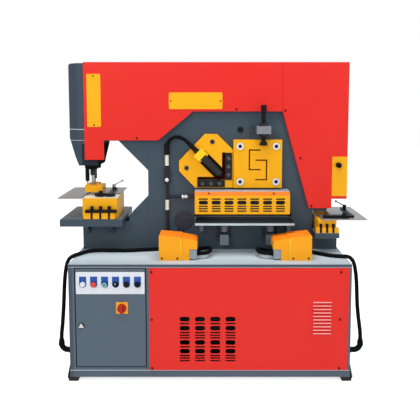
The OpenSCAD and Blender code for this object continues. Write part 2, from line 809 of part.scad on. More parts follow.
module offcut_hood() difference() {
    span(offcut_x, [plate_out, offcut_y], offcut_z);
    span([offcut_x[0] + sheet_t, offcut_x[1] - sheet_t], [plate_out - cut, offcut_y - sheet_t],
        [offcut_z[0] - cut, offcut_z[1] - sheet_t]);
}

module rear_cover() color(red) {
    mirror([0, 1, 0]) {
        cover_shell(rear_cover_pts, head_x1 + cut, cover_x1);
        right_wall();
    }
    offcut_hood();
}

tall_x = [cover_x0 + 20, cover_x0 + 107];
tall_z = [arm_z + 85, arm_z + 415];
long_x = [-257, 78];
long_z = [bridge_z + 14, bridge_z + 118];
notch_plate_x = [column_step_x, cover_x1];
notch_plate_z = [column_step_z + 18, column_step_z + 269];

module access_plates() color(yellow) {
    y = [cover_front - sheet_t, cover_front];
    round_plate(tall_x, tall_z, y, 8);
    round_plate(long_x, long_z, y, 8);
    span(notch_plate_x, y, notch_plate_z);
}

module cover_screws() color(black) {
    for (x = [panel_x0 + 16, panel_x1 - 48], z = [panel_z0 + 12, (panel_z0 + panel_z1) / 2, panel_z1 - 24])
        screw_head(x, z, panel_y, 13, 4);
    for (p = [
        [-460, arm_z + 14], [166, bridge_z + 14], [471, bridge_z + 6], [571, deck + 593], [644, column_z + 14]
    ]) screw_head(p[0], p[1], cover_front, 13, 4);
    for (z = [tall_z[0] + 12, tall_z[1] - 12])
        screw_head((tall_x[0] + tall_x[1]) / 2, z, cover_front - sheet_t, 9, 3);
    for (x = [long_x[0] + 12, long_x[1] - 12])
        screw_head(x, (long_z[0] + long_z[1]) / 2, cover_front - sheet_t, 9, 3);
    screw_head(notch_plate_x[0] + 37, notch_plate_z[1] - 52, cover_front - sheet_t, 34, 26);
    for (p = [[15, angle_z0 + 291], [-148, angle_z0 + 125]]) screw_head(p[0], p[1], angle_y, 30, 5);
    for (x = [section_x0 + 41, section_x0 + 268], z = [section_z0 + 39, section_z0 + 263])
        screw_head(x, z, section_y, 46, 6);
    for (i = [-1:1]) {
        screw_head(heel_x + fixed_w / 2, heel_z + 86 + 52 * i, angle_y - 4, 22, 3);
        screw_head(heel_x - 89 + 54 * i, heel_z - fixed_w / 2 - 1, angle_y - 4, 22, 3);
    }
    screw_head(192, bracket_z0 + 22, -plate_out, 38, 6);
    for (p = [[-29, -52], [-4, -60]]) screw_head(pivot_x + p[0], pivot_z + p[1] - 7, -plate_out, 12, 4);
}

// Punch station

module head_plan(z) translate([0, 0, z[0]]) linear_extrude(z[1] - z[0]) polygon([
    [head_x0 + chamfer_x, -head_y], [head_x1 - chamfer_x / 2, -head_y], [head_x1, chamfer_y - head_y],
    [head_x1, head_y - chamfer_y], [head_x1 - chamfer_x / 2, head_y], [head_x0 + chamfer_x, head_y],
    [head_x0, head_y - chamfer_y], [head_x0, chamfer_y - head_y]
]);

module cylinder_housing() color(slate) difference() {
    intersection() {
        head_plan([joint_z, head_z1]);
        slab([[head_x0, joint_z], [head_x1, joint_z], [head_x1, head_z1 - 8], [head_x1 - 16, head_z1],
            [head_x0 + 16, head_z1], [head_x0, head_z1 - 8]], [-head_y, head_y]);
    }
    rod_z(punch_x, 0, [joint_z - cut, piston_z + 12], cyl_bore);
}

module punch_nose() color(slate) difference() {
    union() {
        intersection() {
            head_plan([nose_z, joint_z]);
            slab([[head_x0 + nose_taper, nose_z], [head_x1 - nose_in - nose_lean, nose_z],
                [head_x1 - nose_in, taper_z], [head_x1 - nose_in, joint_z], [head_x0, joint_z],
                [head_x0, taper_z]], [-head_y, head_y]);
            side_slab([[-head_y + 20, nose_z], [head_y - 20, nose_z], [head_y, taper_z], [head_y, joint_z],
                [-head_y, joint_z], [-head_y, taper_z]], [head_x0, head_x1]);
        }
        rod_z(punch_x, 0, [nose_z - collar_t, nose_z], collar_d);
        for (s = sleeves) rod_z(punch_x + s[0], s[1], [sleeve_z, nose_z], sleeve_d);
    }
    rod_z(punch_x, 0, [nose_z - collar_t - cut, joint_z + cut], ram_d + 2 * run);
    for (s = sleeves) rod_z(punch_x + s[0], s[1], [sleeve_z - cut, nose_z + 40], stem_z + 2 * run);
}

module punch_ram() color(black) {
    rod_z(punch_x, 0, [ram_z, piston_z - piston_t], ram_d);
    rod_z(punch_x, 0, [piston_z - piston_t, piston_z], cyl_bore - 2 * run);
}

module punch() color(steel) {
    rod_z(punch_x, 0, [ram_z - 40, ram_z], punch_d + 14);
    rod_z(punch_x, 0, [punch_tip_z, ram_z - 40], punch_d);
}

module stripper() color(yellow) {
    z0 = gauge_z + stripper_gap;
    z1 = z0 + stripper_t;
    difference() {
        union() {
            span([punch_x - 35, punch_x + 77], [-84, 24], [z0, z1]);
            span([punch_x - 35, punch_x + 34], [24, 84], [z0, z1]);
            for (s = sleeves) rod_z(punch_x + s[0], s[1], [z0, z1 + 2], 30);
            rod_z(punch_x + 42, -44, [z1, z1 + 8], 22);
        }
        rod_z(punch_x, 0, [z0 - cut, z1 + 3], punch_d + 18);
        span([punch_x - 36, punch_x], [-20, 20], [z0 - cut, z1 + 3]);
    }
    for (s = sleeves) rod_z(punch_x + s[0], s[1], [z1, sleeve_z + 60], stem_z);
}

module punch_die() color(steel) difference() {
    rod_z(punch_x, 0, [bolster_z - die_h, bolster_z], die_d);
    rod_z(punch_x, 0, [bolster_z - die_h - cut, bolster_z + cut], punch_d + 1);
}

module table_plate(x, z) intersection() {
    slab([[x[0], z[0]], [x[1], z[0]], [x[1], z[1] - 6], [x[1] - 6, z[1]], [x[0] + 6, z[1]], [x[0], z[1] - 6]],
        [-table_y, table_y]);
    side_slab([[-table_y, z[0]], [table_y, z[0]], [table_y, z[1] - 6], [table_y - 6, z[1]],
        [6 - table_y, z[1]], [-table_y, z[1] - 6]], x);
}

gusset_h = 68;

module work_tables() color(frame_grey) {
    low = table_z - table_t;
    difference() {
        table_plate([table_x0, table_x0 + table_w], [low, table_z]);
        rod_z(punch_x, 0, [low - cut, table_z + cut], slug_d);
    }
    for (x = [-790, -635])
        side_slab([[-plate_out, low], [-plate_out, low - gusset_h], [-table_y + 15, low]], [x, x + 20]);
    difference() {
        span([notch_wall_x + 2, frame_right - 11], [-table_y - 5, plate_out + 25],
            [notch_seat, notch_seat + notch_plate_t]);
        span([notch_x0 - 4, notch_x0 + notch_w + 14], [-notch_d / 2 - 4, notch_d / 2 + 4],
            [notch_seat - cut, notch_seat + notch_plate_t + cut]);
    }
}

bolt_x = [-736, -682, -628];
notch_bolt_x = [690, 729, 768];

module bolt_slots(xs, y, z) for (x = xs) span([x - 7, x + 7], y, z);

module die_bolsters() color(yellow) {
    notch_low = notch_seat + notch_plate_t;
    difference() {
        union() {
            span([bolster_x0, bolster_x1], [bolster_y0, bolster_y1], [table_z, bolster_z]);
            span([bolster_x0 + 12, bolster_x1 - 12], [flange_y, bolster_y0], [table_z, table_z + flange_h]);
        }
        rod_z(punch_x, 0, [bolster_z - die_h, bolster_z + cut], die_d + 2 * run);
        rod_z(punch_x, 0, [table_z - cut, bolster_z], slug_d);
        bolt_slots(bolt_x, [flange_y - cut, bolster_y0], [table_z - cut, table_z + flange_h + cut]);
    }
    difference() {
        union() {
            span([notch_bolster_x0, notch_bolster_x1], [10 - table_y, bolster_y1], [notch_low, notch_z]);
            span([notch_bolster_x0 - 16, notch_bolster_x1 + 12], [-table_y - 5, 10 - table_y],
                [notch_low, notch_low + 33]);
        }
        span([notch_x0 - notch_clear, notch_x0 + notch_w + notch_clear + notch_die_drift],
            [-notch_d / 2 - notch_clear, notch_d / 2 + notch_clear], [notch_low - cut, notch_z + cut]);
        bolt_slots(notch_bolt_x, [-table_y - 6, 10 - table_y], [notch_low - cut, notch_low + 33 + cut]);
    }
}

module bolster_clamps() color(black) {
    top = table_z + flange_h;
    span([bolster_x0 + 22, bolster_x1 - 2], [flange_y - 6, bolster_y0], [top, top + 16]);
    for (x = bolt_x) {
        rod_z(x, (flange_y + bolster_y0) / 2, [table_z, top], 12);
        rod_z(x, (flange_y + bolster_y0) / 2, [top + 16, top + 38], 20);
    }
    notch_top = notch_seat + notch_plate_t + 33;
    for (x = notch_bolt_x) {
        rod_z(x, -table_y + 1, [notch_top - 33, notch_top], 12);
        rod_z(x, -table_y + 1, [notch_top, notch_top + 7], 17);
        rod_z(x, -table_y + 1, [notch_top + 7, notch_top + 22], 13);
    }
}

module gauge_plates() color(steel) {
    difference() {
        span([gauge_x0, bolster_x1], [-table_y, table_y], [bolster_z, gauge_z]);
        span([bolster_x0, punch_x + 70], [-table_y - cut, 60], [bolster_z - cut, gauge_z + cut]);
        span([punch_x, bolster_x1 + cut], [-table_y - cut, -35], [bolster_z - cut, gauge_z + cut]);
    }
    difference() {
        span([notch_bolster_x0 + 20, 980], [-table_y, table_y - 5], [notch_z, notch_gauge_z]);
        span([notch_bolster_x0, notch_x0 + notch_w + 14], [-notch_d / 2 - 12, notch_d / 2 + 12],
            [notch_z - cut, notch_gauge_z + cut]);
    }
}

// An L-shaped fence on a gauge plate: a cross bar, a rail along Y and two clamp knobs
module fence(bar_x, bar_y, rail_x, rail_y1, knob, z) {
    span(bar_x, [bar_y, bar_y + 26], [z, z + 17]);
    span([rail_x - 12, rail_x + 12], [bar_y + 26, rail_y1], [z, z + 12]);
    span([min(bar_x[0], rail_x - 12), max(bar_x[1], rail_x + 12)], [bar_y + 20, bar_y + 26], [z, z + 12]);
    rod_z(knob, bar_y + 6, [z, z + 20], 34);
    rod_z(knob, bar_y + 6, [z + 20, z + 34], 24);
}

fence_lift = 0.3;
punch_fence_z = gauge_z + fence_lift;
notch_fence_z = notch_gauge_z + fence_lift;
lever_d = 24;
punch_lever = [-645, 70];
notch_lever = [900, 45];

module punch_fence() color(black) difference() {
    union() {
        fence([-727, -600], -145, punch_lever[0], 130, -690, punch_fence_z);
        rod_z(punch_lever[0], punch_lever[1], [punch_fence_z, punch_fence_z + 24], lever_d);
    }
    rod_z(punch_lever[0], punch_lever[1], [punch_fence_z + 4, punch_fence_z + 25], 8 + 2 * run);
}

module notch_fence() color(black) difference() {
    union() {
        fence([714, 878], -166, notch_lever[0], 110, 845, notch_fence_z);
        rod_z(notch_lever[0], notch_lever[1], [notch_fence_z, notch_fence_z + 24], lever_d);
    }
    rod_z(notch_lever[0], notch_lever[1], [notch_fence_z + 4, notch_fence_z + 25], 8 + 2 * run);
}

// A clamp lever on a stud: hub, slanted arm and ball
module clamp_lever(at, z, turn) translate([at[0], at[1], z]) {
    rod_z(0, 0, [-18, 0], 8);
    cylinder(d = lever_d, h = 18);
    rotate([0, 0, turn]) translate([0, 0, 12]) rotate([0, 62, 0]) {
        cylinder(d = 7, h = 66);
        translate([0, 0, 66]) sphere(d = 14);
    }
}

module punch_fence_lever() color(black) clamp_lever(punch_lever, punch_fence_z + 24 + fence_lift, 0);
module notch_fence_lever() color(black) clamp_lever(notch_lever, notch_fence_z + 24 + fence_lift, 180);

// Angle shear

// Local X runs down the diagonal of the angle opening from the hold-down block
module on_diagonal() translate([hold_x, hold_y, hold_z]) rotate([0, 45, 0]) children();

module blade_pair(y) {
    span([heel_x, heel_x + fixed_w], y, [heel_z + 1, heel_z + leg_l - 3]);
    span([heel_x - leg_l, heel_x - 2], y, [heel_z - fixed_w - 1, heel_z]);
}

module angle_plate() color(yellow) difference() {
    slab(angle_pts, [angle_y, -plate_out]);
    span([heel_x - leg_gap, heel_x], [angle_y - cut, cut - plate_out], [heel_z, heel_z + leg_l]);
    span([heel_x - leg_l, heel_x], [angle_y - cut, cut - plate_out], [heel_z, heel_z + leg_gap]);
    blade_pair([angle_y - cut, angle_y + angle_t / 2]);
    on_diagonal() span([0, 205], [-angle_t, angle_t + 10], [-39, 39]);
}

// The slots of the section shear: two facing C shapes
module section_slots(y) {
    s = section_slot / 2;
    for (c = [[section_mid_x - 52.5, 33, 1], [section_mid_x + 55.5, -31, -1]]) {
        x = c[0];
        z = section_mid_z + c[1];
        span([x - s, x + s], y, [z - 62 - s, z + 62 + s]);
        for (e = [-62, 62])
            span([min(x, x + 66 * c[2]) - s, max(x, x + 66 * c[2]) + s], y, [z + e - s, z + e + s]);
    }
}

module fixed_blades() color(black) {
    blade_pair([angle_y - 4, angle_y + angle_t / 2]);
    intersection() {
        blade_pair([-plate_out, -shear_y]);
        span([heel_x - leg_l - 9, heel_x + fixed_w], [-plate_out, -shear_y],
            [heel_z - fixed_w + 2, heel_z + leg_l]);
    }
    span([blade_x0, blade_x1], [-plate_out, -shear_y], [feed_z - blade_h, feed_z]);
    difference() {
        section_window(0, [-plate_out, -shear_y]);
        section_slots([-plate_out - cut, cut - shear_y]);
    }
}

module hold_down_cylinder() color(black) difference() {
    union() {
        on_diagonal() span([-block_l / 2, block_l / 2], [-30, 5], [-block_w / 2, block_w / 2]);
        on_diagonal() rod_x(0, 0, [0, hold_l], hold_d);
    }
    on_diagonal() rod_x(0, 0, [30, hold_l + cut], hold_rod_d + 2 * run);
}

module hold_down_rod() color(steel) on_diagonal() rod_x(0, 0, [60, hold_l + hold_rod_out], hold_rod_d);

module hydraulic_hose() color(black) tube(hose_route, hose_d);

fitting_d = 26;
pipe_d = 14;
branch_z = deck + 344;

module hydraulic_line() color(black) {
    rod_z(line_x, line_y, [deck + 545, line_top], fitting_d);
    rod_z(line_x, line_y, [deck + 521, deck + 545], fitting_d - 8);
    span([line_x - 17, line_x + 17], [line_y - 17, -plate_out], [deck + 428, deck + 521]);
    translate([line_x, line_y - 17, deck + 454]) sphere(d = 26);
    rod_z(line_x, line_y, [deck + 326, deck + 428], pipe_d);
    rod_z(line_x, line_y, [deck + 261, deck + 326], fitting_d);
    rod_z(line_x, line_y, [deck, deck + 261], pipe_d + 3);
    rod_x(line_y, branch_z, [line_x, guard_x0], pipe_d);
    rod_x(line_y, branch_z, [line_x + 94, line_x + 104], fitting_d);
    translate([line_x + 119, line_y, branch_z]) sphere(d = 25);
}

// Section shear

module section_plate() color(yellow) difference() {
    span([section_x0, section_x0 + section_w], [section_y, -plate_out], [section_z0, section_z0 + section_h]);
    section_slots([section_y - cut, cut - plate_out]);
}

module hold_down_bracket() color(light) difference() {
    union() {
        span([screw_x - 43, screw_x + 44], [screw_y - 27, -plate_out], [bracket_z0, bracket_z1]);
        rod_z(screw_x, screw_y, [bracket_z0 - nut_t, bracket_z1 + nut_t], screw_d + 23);
        span([screw_x - 82, screw_x - 56], [-plate_out - 12, -plate_out], [bracket_z0 + 3, bracket_z0 + 43]);
    }
    rod_z(screw_x, screw_y, [bracket_z0 - nut_t - cut, bracket_z1 + nut_t + cut], screw_d + 2 * run);
}

module hold_down_screw() color(black) {
    translate([screw_x, screw_y, foot_z]) cylinder(d1 = 53, d2 = 40, h = 22);
    rod_z(screw_x, screw_y, [foot_z + 22, bracket_z1 + 94], screw_d);
    rod_z(screw_x, screw_y, [bracket_z1 + 94, bracket_z1 + 131], 35);
}

// Flat-bar shear

guard_rows = [[95, 9], [73, 25], [50, 9], [35, 9], [20, 9]];
guard_slot = 57;
guard_pitch = 79.4;

module shear_guard() color(yellow) difference() {
    side_slab([[guard_y, guard_z0], [-plate_out, guard_z0], [-plate_out, guard_z1], [guard_y + 17, guard_z1],
        [guard_y, guard_z1 - 24]], [guard_x0, guard_x1]);
    side_slab([[guard_y + sheet_t, guard_z0 - cut], [cut - plate_out, guard_z0 - cut],
        [cut - plate_out, guard_z1 - sheet_t], [guard_y + 18, guard_z1 - sheet_t],
        [guard_y + sheet_t, guard_z1 - 25]], [guard_x0 + sheet_t, guard_x1 - sheet_t]);
    for (i = [-3:3], r = guard_rows)
        slot((guard_x0 + guard_x1) / 2 - 3 + i * guard_pitch, guard_z0 + r[0], guard_slot, r[1],
            [guard_y - cut, guard_y + sheet_t + cut]);
}

module shear_table() color(light)
    span([blade_x0 + 6, blade_x1 - 5], [-plate_out - feed_reach, -plate_out], [feed_z - feed_t, feed_z]);

module table_supports() color(slate) {
    low = feed_z - feed_t;
    for (x = support_x) {
        span([x - 27, x + 28], [-plate_out - support_d, -plate_out], [low - 148, low - 82]);
        rod_z(x, -plate_out - support_d / 2, [low - 82, low], 22);
        translate([x, -plate_out - support_d / 2, low - 66]) cylinder(d = 46, h = 40, $fn = 6);
    }
    for (x = [-66, 490])
        span([x, x + 25], [-plate_out - support_d / 2, -plate_out], [low - 68, low]);
}

// Rocker beam and its drive

module shear_beam() color(frame_grey) difference() {
    union() {
        slab(beam_pts, [-beam_y, beam_y]);
        rod_y(pivot_x, pivot_z, [free - plate_in, plate_in - free], pivot_d + 44);
    }
    rod_y(pivot_x, pivot_z, [-plate_in, plate_in], pivot_d + 2 * run);
    span([heel_x - leg_l - 2, heel_x + 34], [-beam_y - cut, beam_y + cut], [heel_z - 24, heel_z + leg_gap]);
    span([heel_x - leg_gap, heel_x + 34], [-beam_y - cut, beam_y + cut], [heel_z - 24, heel_z + leg_l + 5]);
    section_window(0, [-beam_y - cut, beam_y + cut]);
    span([pin_x - pin_slide, pin_x], [-beam_y - cut, beam_y + cut],
        [pin_z - pin_d / 2 - 0.5, pin_z + pin_d / 2 + 0.5]);
    for (x = [pin_x - pin_slide, pin_x]) rod_y(x, pin_z, [-beam_y - cut, beam_y + cut], pin_d + 1);
}

module beam_blades() color(steel) {
    y = [shear_gap - shear_y, -beam_y];
    slab([
        [blade_x0 + 4, feed_z - 3 + (blade_x0 - pivot_x) * tan(beam_turn)],
        [blade_x1 - 4, feed_z - 3 + (blade_x1 - pivot_x) * tan(beam_turn)],
        [blade_x1 - 4, beam_low + 68], [blade_x0 + 4, beam_low + 68]
    ], y);
    span([heel_x - leg_gap - 144, heel_x - leg_gap], y, [heel_z + leg_gap, heel_z + leg_gap + 146]);
    difference() {
        section_window(10, y);
        section_slots([y[0] - cut, y[1] + cut]);
    }
}

module notch_punch() color(black)
    span([notch_x0, notch_x0 + notch_w], [-notch_d / 2, notch_d / 2], [notch_gap_z, beam_low + 58]);

module pivot_pin() color(slate) difference() {
    union() {
        rod_y(pivot_x, pivot_z, [-plate_out, plate_out], pivot_d);
        rod_y(pivot_x, pivot_z, [-plate_out - 6, -plate_out], pivot_d + 28);
        rod_y(pivot_x, pivot_z, [plate_out, plate_out + 6], pivot_d + 28);
    }
    for (p = [[-36, 17], [27, -3]])
        rod_y(pivot_x + p[0], pivot_z + p[1], [-plate_out - 7, 4 - plate_out], 10);
}

module shear_cylinder() color(slate) difference() {
    union() {
        rod_z(pin_x, 0, [barrel_z0, barrel_z1], shear_d);
        span([pin_x - 60, pin_x + 60], [-plate_in, plate_in], [barrel_z0 + 145, barrel_z0 + 205]);
    }
    rod_z(pin_x, 0, [barrel_z0 - cut, barrel_z1 - 20], rod_d + 2 * run);
    rod_z(pin_x, 0, [barrel_z0 + 30, barrel_z1 - 20], shear_d - 20);
}

module shear_rod() color(steel) {
    fork = [pin_z + 135, pin_z + 160];
    for (y = [[4 - plate_in, -beam_y - 1], [beam_y + 1, plate_in - 4]])
        span([pin_x - 28, pin_x + 28], y, [pin_z - 28, fork[0]]);
    span([pin_x - 28, pin_x + 28], [4 - plate_in, plate_in - 4], fork);
    rod_y(pin_x, pin_z, [4 - plate_in, plate_in - 4], pin_d);
    rod_z(pin_x, 0, [fork[1], barrel_z1 - 80], rod_d);
    rod_z(pin_x, 0, [barrel_z1 - 80, barrel_z1 - 30], shear_d - 20 - 2 * run);
}

// Pedals, drawn for the left side with the open end at local X = 0

module pedal_at(left) translate([left ? pedal_x : 2 * pedal_mid - pedal_x, 0, deck])
    mirror([left ? 0 : 1, 0, 0]) children();

module pedal_hood() {
    y = [pedal_y0, pedal_y0 + pedal_d];
    difference() {
        slab([
            [0, 0], [hood_l, 0], [hood_l, 67], [pedal_l, 67], [pedal_l, pedal_h - 40],
            [pedal_l - 12, pedal_h - 30], [hood_step + 1, pedal_h - 16], [hood_step + 1, pedal_h - 12],
            [5, pedal_h], [0, pedal_h - 4]
        ], y);
        slab([
            [-cut, hood_t], [foot_room, hood_t], [foot_room, pedal_h - hood_t - 13],
            [-cut, pedal_h - hood_t - 4]
        ], [y[0] + hood_t, y[1] - hood_t]);
        rod_y(treadle_x, treadle_z, [y[0] + 2, y[1] - 2], 8 + 2 * run);
        span([hood_step, pedal_l + cut], [y[0] - cut, y[0] + 4], [-cut, pedal_h]);
    }
    span([hood_l, hood_l + terminal_l + 1], terminal_y, [7, 64]);
}

module treadle() {
    y = [pedal_y0 + hood_t + 4, pedal_y0 + pedal_d - hood_t - 4];
    span([8, foot_room - 8], y, [treadle_z - 6, treadle_z + 6]);
    rod_y(treadle_x, treadle_z, [pedal_y0 + 2 + free, pedal_y0 + pedal_d - 2 - free], 8);
}

module left_pedal_hood() color(orange) pedal_at(true) pedal_hood();
module right_pedal_hood() color(orange) pedal_at(false) pedal_hood();
module left_treadle() color(black) pedal_at(true) treadle();
module right_treadle() color(black) pedal_at(false) treadle();
module left_cord() color(black) tube(left_route, cord_d);
module right_cord() color(black) tube(right_route, cord_d);

base_cabinet();
front_panel();
anchor_feet();
cable_glands();
inner_equipment();
cabinet_door();
control_plates();
door_lock();
red_button();
green_button();
mode_selector();
left_black_button();
right_black_button();
main_switch();
front_frame_plate();
rear_frame_plate();
frame_spacers();
left_front_cover();
right_front_cover();
rear_cover();
access_plates();
cover_screws();
cylinder_housing();
punch_nose();
punch_ram();
punch();
punch_die();
stripper();
work_tables();
die_bolsters();
bolster_clamps();
gauge_plates();
punch_fence();
punch_fence_lever();
notch_fence();
notch_fence_lever();
angle_plate();
fixed_blades();
hold_down_cylinder();
hold_down_rod();
hydraulic_hose();
hydraulic_line();
section_plate();
hold_down_bracket();
hold_down_screw();
shear_guard();
shear_table();
table_supports();
shear_beam();
beam_blades();
notch_punch();
pivot_pin();
shear_cylinder();
shear_rod();
left_pedal_hood();
right_pedal_hood();
left_treadle();
right_treadle();
left_cord();
right_cord();
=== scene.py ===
import math
import bpy
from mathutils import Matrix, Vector


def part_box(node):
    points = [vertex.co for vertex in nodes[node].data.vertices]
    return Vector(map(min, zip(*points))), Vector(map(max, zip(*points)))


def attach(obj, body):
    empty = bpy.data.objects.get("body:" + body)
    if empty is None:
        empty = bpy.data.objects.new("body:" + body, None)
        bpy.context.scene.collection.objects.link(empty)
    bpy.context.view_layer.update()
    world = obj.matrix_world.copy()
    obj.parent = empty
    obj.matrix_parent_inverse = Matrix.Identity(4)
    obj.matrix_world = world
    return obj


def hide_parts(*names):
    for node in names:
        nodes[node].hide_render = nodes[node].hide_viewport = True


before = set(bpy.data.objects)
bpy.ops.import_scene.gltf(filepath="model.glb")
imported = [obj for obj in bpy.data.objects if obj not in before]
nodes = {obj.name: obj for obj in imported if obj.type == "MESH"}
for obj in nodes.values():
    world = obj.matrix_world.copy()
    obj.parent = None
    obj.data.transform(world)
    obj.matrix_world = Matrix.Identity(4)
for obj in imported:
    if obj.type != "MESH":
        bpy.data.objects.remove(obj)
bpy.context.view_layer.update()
scene = bpy.context.scene
print("stage: frame loaded")

# camera, where the photograph was taken from
cameraView = {"place": (0, -3.26, 1.637), "tilt": 85.2, "lens": 42.86, "sensor": 36, "shiftY": -0.15,
              "reach": 60}
bpy.ops.object.camera_add(location=cameraView["place"], rotation=(math.radians(cameraView["tilt"]), 0, 0))
camera = bpy.context.object
camera.data.lens = cameraView["lens"]
camera.data.sensor_width = cameraView["sensor"]
camera.data.shift_y = cameraView["shiftY"]
camera.data.clip_end = cameraView["reach"]
scene.camera = camera

# pedal cords: same points as the solids, in millimetres
pedalCords = {
    "diameter": 23,
    "sides": 5,
    "steps": 8,
    "left": [
        (-79, -302, 745), (-55, -302, 745), (-27, -297, 745), (-5, -277, 749), (3, -247, 754),
        (-9, -216, 752), (-42, -190, 741), (-90, -168, 727.8), (-150, -147, 721.8), (-240, -134, 721.8),
        (-330, -134, 721.8), (-420, -150, 721.8), (-520, -166, 721.8), (-620, -166, 721.8),
        (-710, -166, 721.8), (-765, -186, 721.8), (-805, -235, 721.8), (-833, -285, 721.8),
        (-849, -302, 712), (-860, -314, 690), (-866, -324, 655),
        (-871, -334, 600), (-874, -342, 530), (-876, -350, 460), (-879, -358, 390), (-883, -367, 320),
        (-886, -375, 275), (-886, -380, 248), (-886, -380, 224)],
    "right": [
        (382, -302, 745), (358, -302, 745), (330, -297, 745), (304, -279, 747), (291, -251, 750),
        (299, -222, 747), (330, -197, 737), (375, -182, 725.8), (430, -176, 721.8), (520, -174, 721.8),
        (600, -176, 721.8), (648, -206, 721.8), (690, -240, 721.8), (740, -272, 721.8), (800, -288, 721.8),
        (835, -298, 721.8), (853, -307, 712), (866, -316, 690), (873, -324, 655), (879, -334, 590),
        (881, -342, 520), (883, -349, 450), (888, -357, 380), (894, -367, 320), (897, -375, 275),
        (897, -380, 248), (897, -380, 224)],
}


def layCord(name, points, diameter):
    curve = bpy.data.curves.new(name, "CURVE")
    curve.dimensions = "3D"
    curve.bevel_depth = 1
    curve.bevel_resolution = pedalCords["sides"]
    curve.resolution_u = pedalCords["steps"]
    curve.use_fill_caps = True
    line = curve.splines.new("BEZIER")
    line.bezier_points.add(len(points) - 1)
    for knot, at in zip(line.bezier_points, points):
        knot.co = [v / 1000 for v in at]
        knot.radius = diameter / 2000
        knot.handle_left_type = knot.handle_right_type = "AUTO"
    cord = bpy.data.objects.new(name, curve)
    scene.collection.objects.link(cord)
    bpy.context.view_layer.update()
    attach(cord, "machine")
    return cord


leftCord = layCord("leftCordFlex", pedalCords["left"], pedalCords["diameter"])
rightCord = layCord("rightCordFlex", pedalCords["right"], pedalCords["diameter"])
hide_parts("left_cord")
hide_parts("right_cord")
print("stage: cords laid")


# shader values written as expressions
class Val:
    def __init__(self, finish, socket):
        self.finish = finish
        self.socket = socket

    def maths(self, operation, first, second=None):
        return self.finish.node("Math", {"operation": operation}, {0: first, 1: second})

    def __add__(self, other):
        return self.maths("ADD", self, other)

    def __radd__(self, other):
        return self.maths("ADD", other, self)

    def __sub__(self, other):
        return self.maths("SUBTRACT", self, other)

    def __rsub__(self, other):
        return self.maths("SUBTRACT", other, self)

    def __mul__(self, other):
        return self.maths("MULTIPLY", self, other)

    def __rmul__(self, other):
        return self.maths("MULTIPLY", other, self)

    def __gt__(self, other):
        return self.maths("GREATER_THAN", self, other)

    def __lt__(self, other):
        return self.maths("LESS_THAN", self, other)

    def __abs__(self):
        return self.maths("ABSOLUTE", self)


edgeLook = {"samples": 4, "round": 0.0022, "faint": 0.02, "sharp": 0.25}


class Finish:
    def __init__(self, name):
        self.material = bpy.data.materials.new(name)
        self.material.use_nodes = True
        self.tree = self.material.node_tree
        self.shader = next(n for n in self.tree.nodes if n.type == "BSDF_PRINCIPLED")
        self.place = self.node("TexCoord", out="Object")
        self.x = self.node("SeparateXYZ", {}, {0: self.place}, "X")
        self.y = self.node("SeparateXYZ", {}, {0: self.place}, "Y")
        self.z = self.node("SeparateXYZ", {}, {0: self.place}, "Z")
        self.up = self.node("SeparateXYZ", {}, {0: self.node("NewGeometry", out="Normal")}, "Z")

    def node(self, kind, settings=None, inputs=None, out=0):
        made = self.tree.nodes.new("ShaderNode" + kind)
        for key, value in (settings or {}).items():
            setattr(made, key, value)
        for key, value in (inputs or {}).items():
            if value is not None:
                self.feed(made.inputs[key], value)
        return Val(self, made.outputs[out])

    def feed(self, socket, value):
        if isinstance(value, Val):
            self.tree.links.new(value.socket, socket)
        else:
            socket.default_value = value

    def set(self, **sockets):
        for key, value in sockets.items():
            self.feed(self.shader.inputs[key.replace("_", " ")], value)

    def noise(self, scale, detail=3, stretch=(1, 1, 1)):
        spread = self.node("Mapping", {}, {"Vector": self.place, "Scale": stretch})
        return self.node("TexNoise", {}, {"Vector": spread, "Scale": scale, "Detail": detail}, "Fac")

    def ramp(self, value, low, high):
        return self.node("MapRange", {"clamp": True}, {"Value": value, "From Min": low, "From Max": high})

    def mix(self, factor, first, second):
        made = self.tree.nodes.new("ShaderNodeMix")
        made.data_type = "RGBA"
        self.feed(made.inputs["Factor"], factor)
        self.feed(made.inputs["A"], self.shade(first))
        self.feed(made.inputs["B"], self.shade(second))
        return Val(self, made.outputs["Result"])

    def shade(self, value):
        return value if isinstance(value, Val) else (*value[:3], 1)

    def bump(self, height, strength, distance):
        rounded = self.node("Bevel", {"samples": edgeLook["samples"]}, {"Radius": edgeLook["round"]})
        return self.node("Bump", {}, {"Height": height, "Strength": strength, "Distance": distance,
                                      "Normal": rounded}, "Normal")

    def edges(self, radius):  # 1 along sharp edges, 0 on flats
        rounded = self.node("Bevel", {"samples": edgeLook["samples"]}, {"Radius": radius})
        flat = self.node("NewGeometry", out="Normal")
        alike = self.node("VectorMath", {"operation": "DOT_PRODUCT"}, {0: rounded, 1: flat}, "Value")
        return self.ramp(1 - alike, edgeLook["faint"], edgeLook["sharp"])


def srgb(red, green, blue):
    def line(v):
        v /= 255
        return v / 12.92 if v <= 0.04045 else ((v + 0.055) / 1.055) ** 2.4
    return line(red), line(green), line(blue)


def darker(shade, share):
    return tuple(v * share for v in shade)


def zoned(finish, shade, zones):
    colour = shade
    for mask, other in [zone(finish) for zone in zones]:
        colour = finish.mix(mask, colour, other)
    return colour


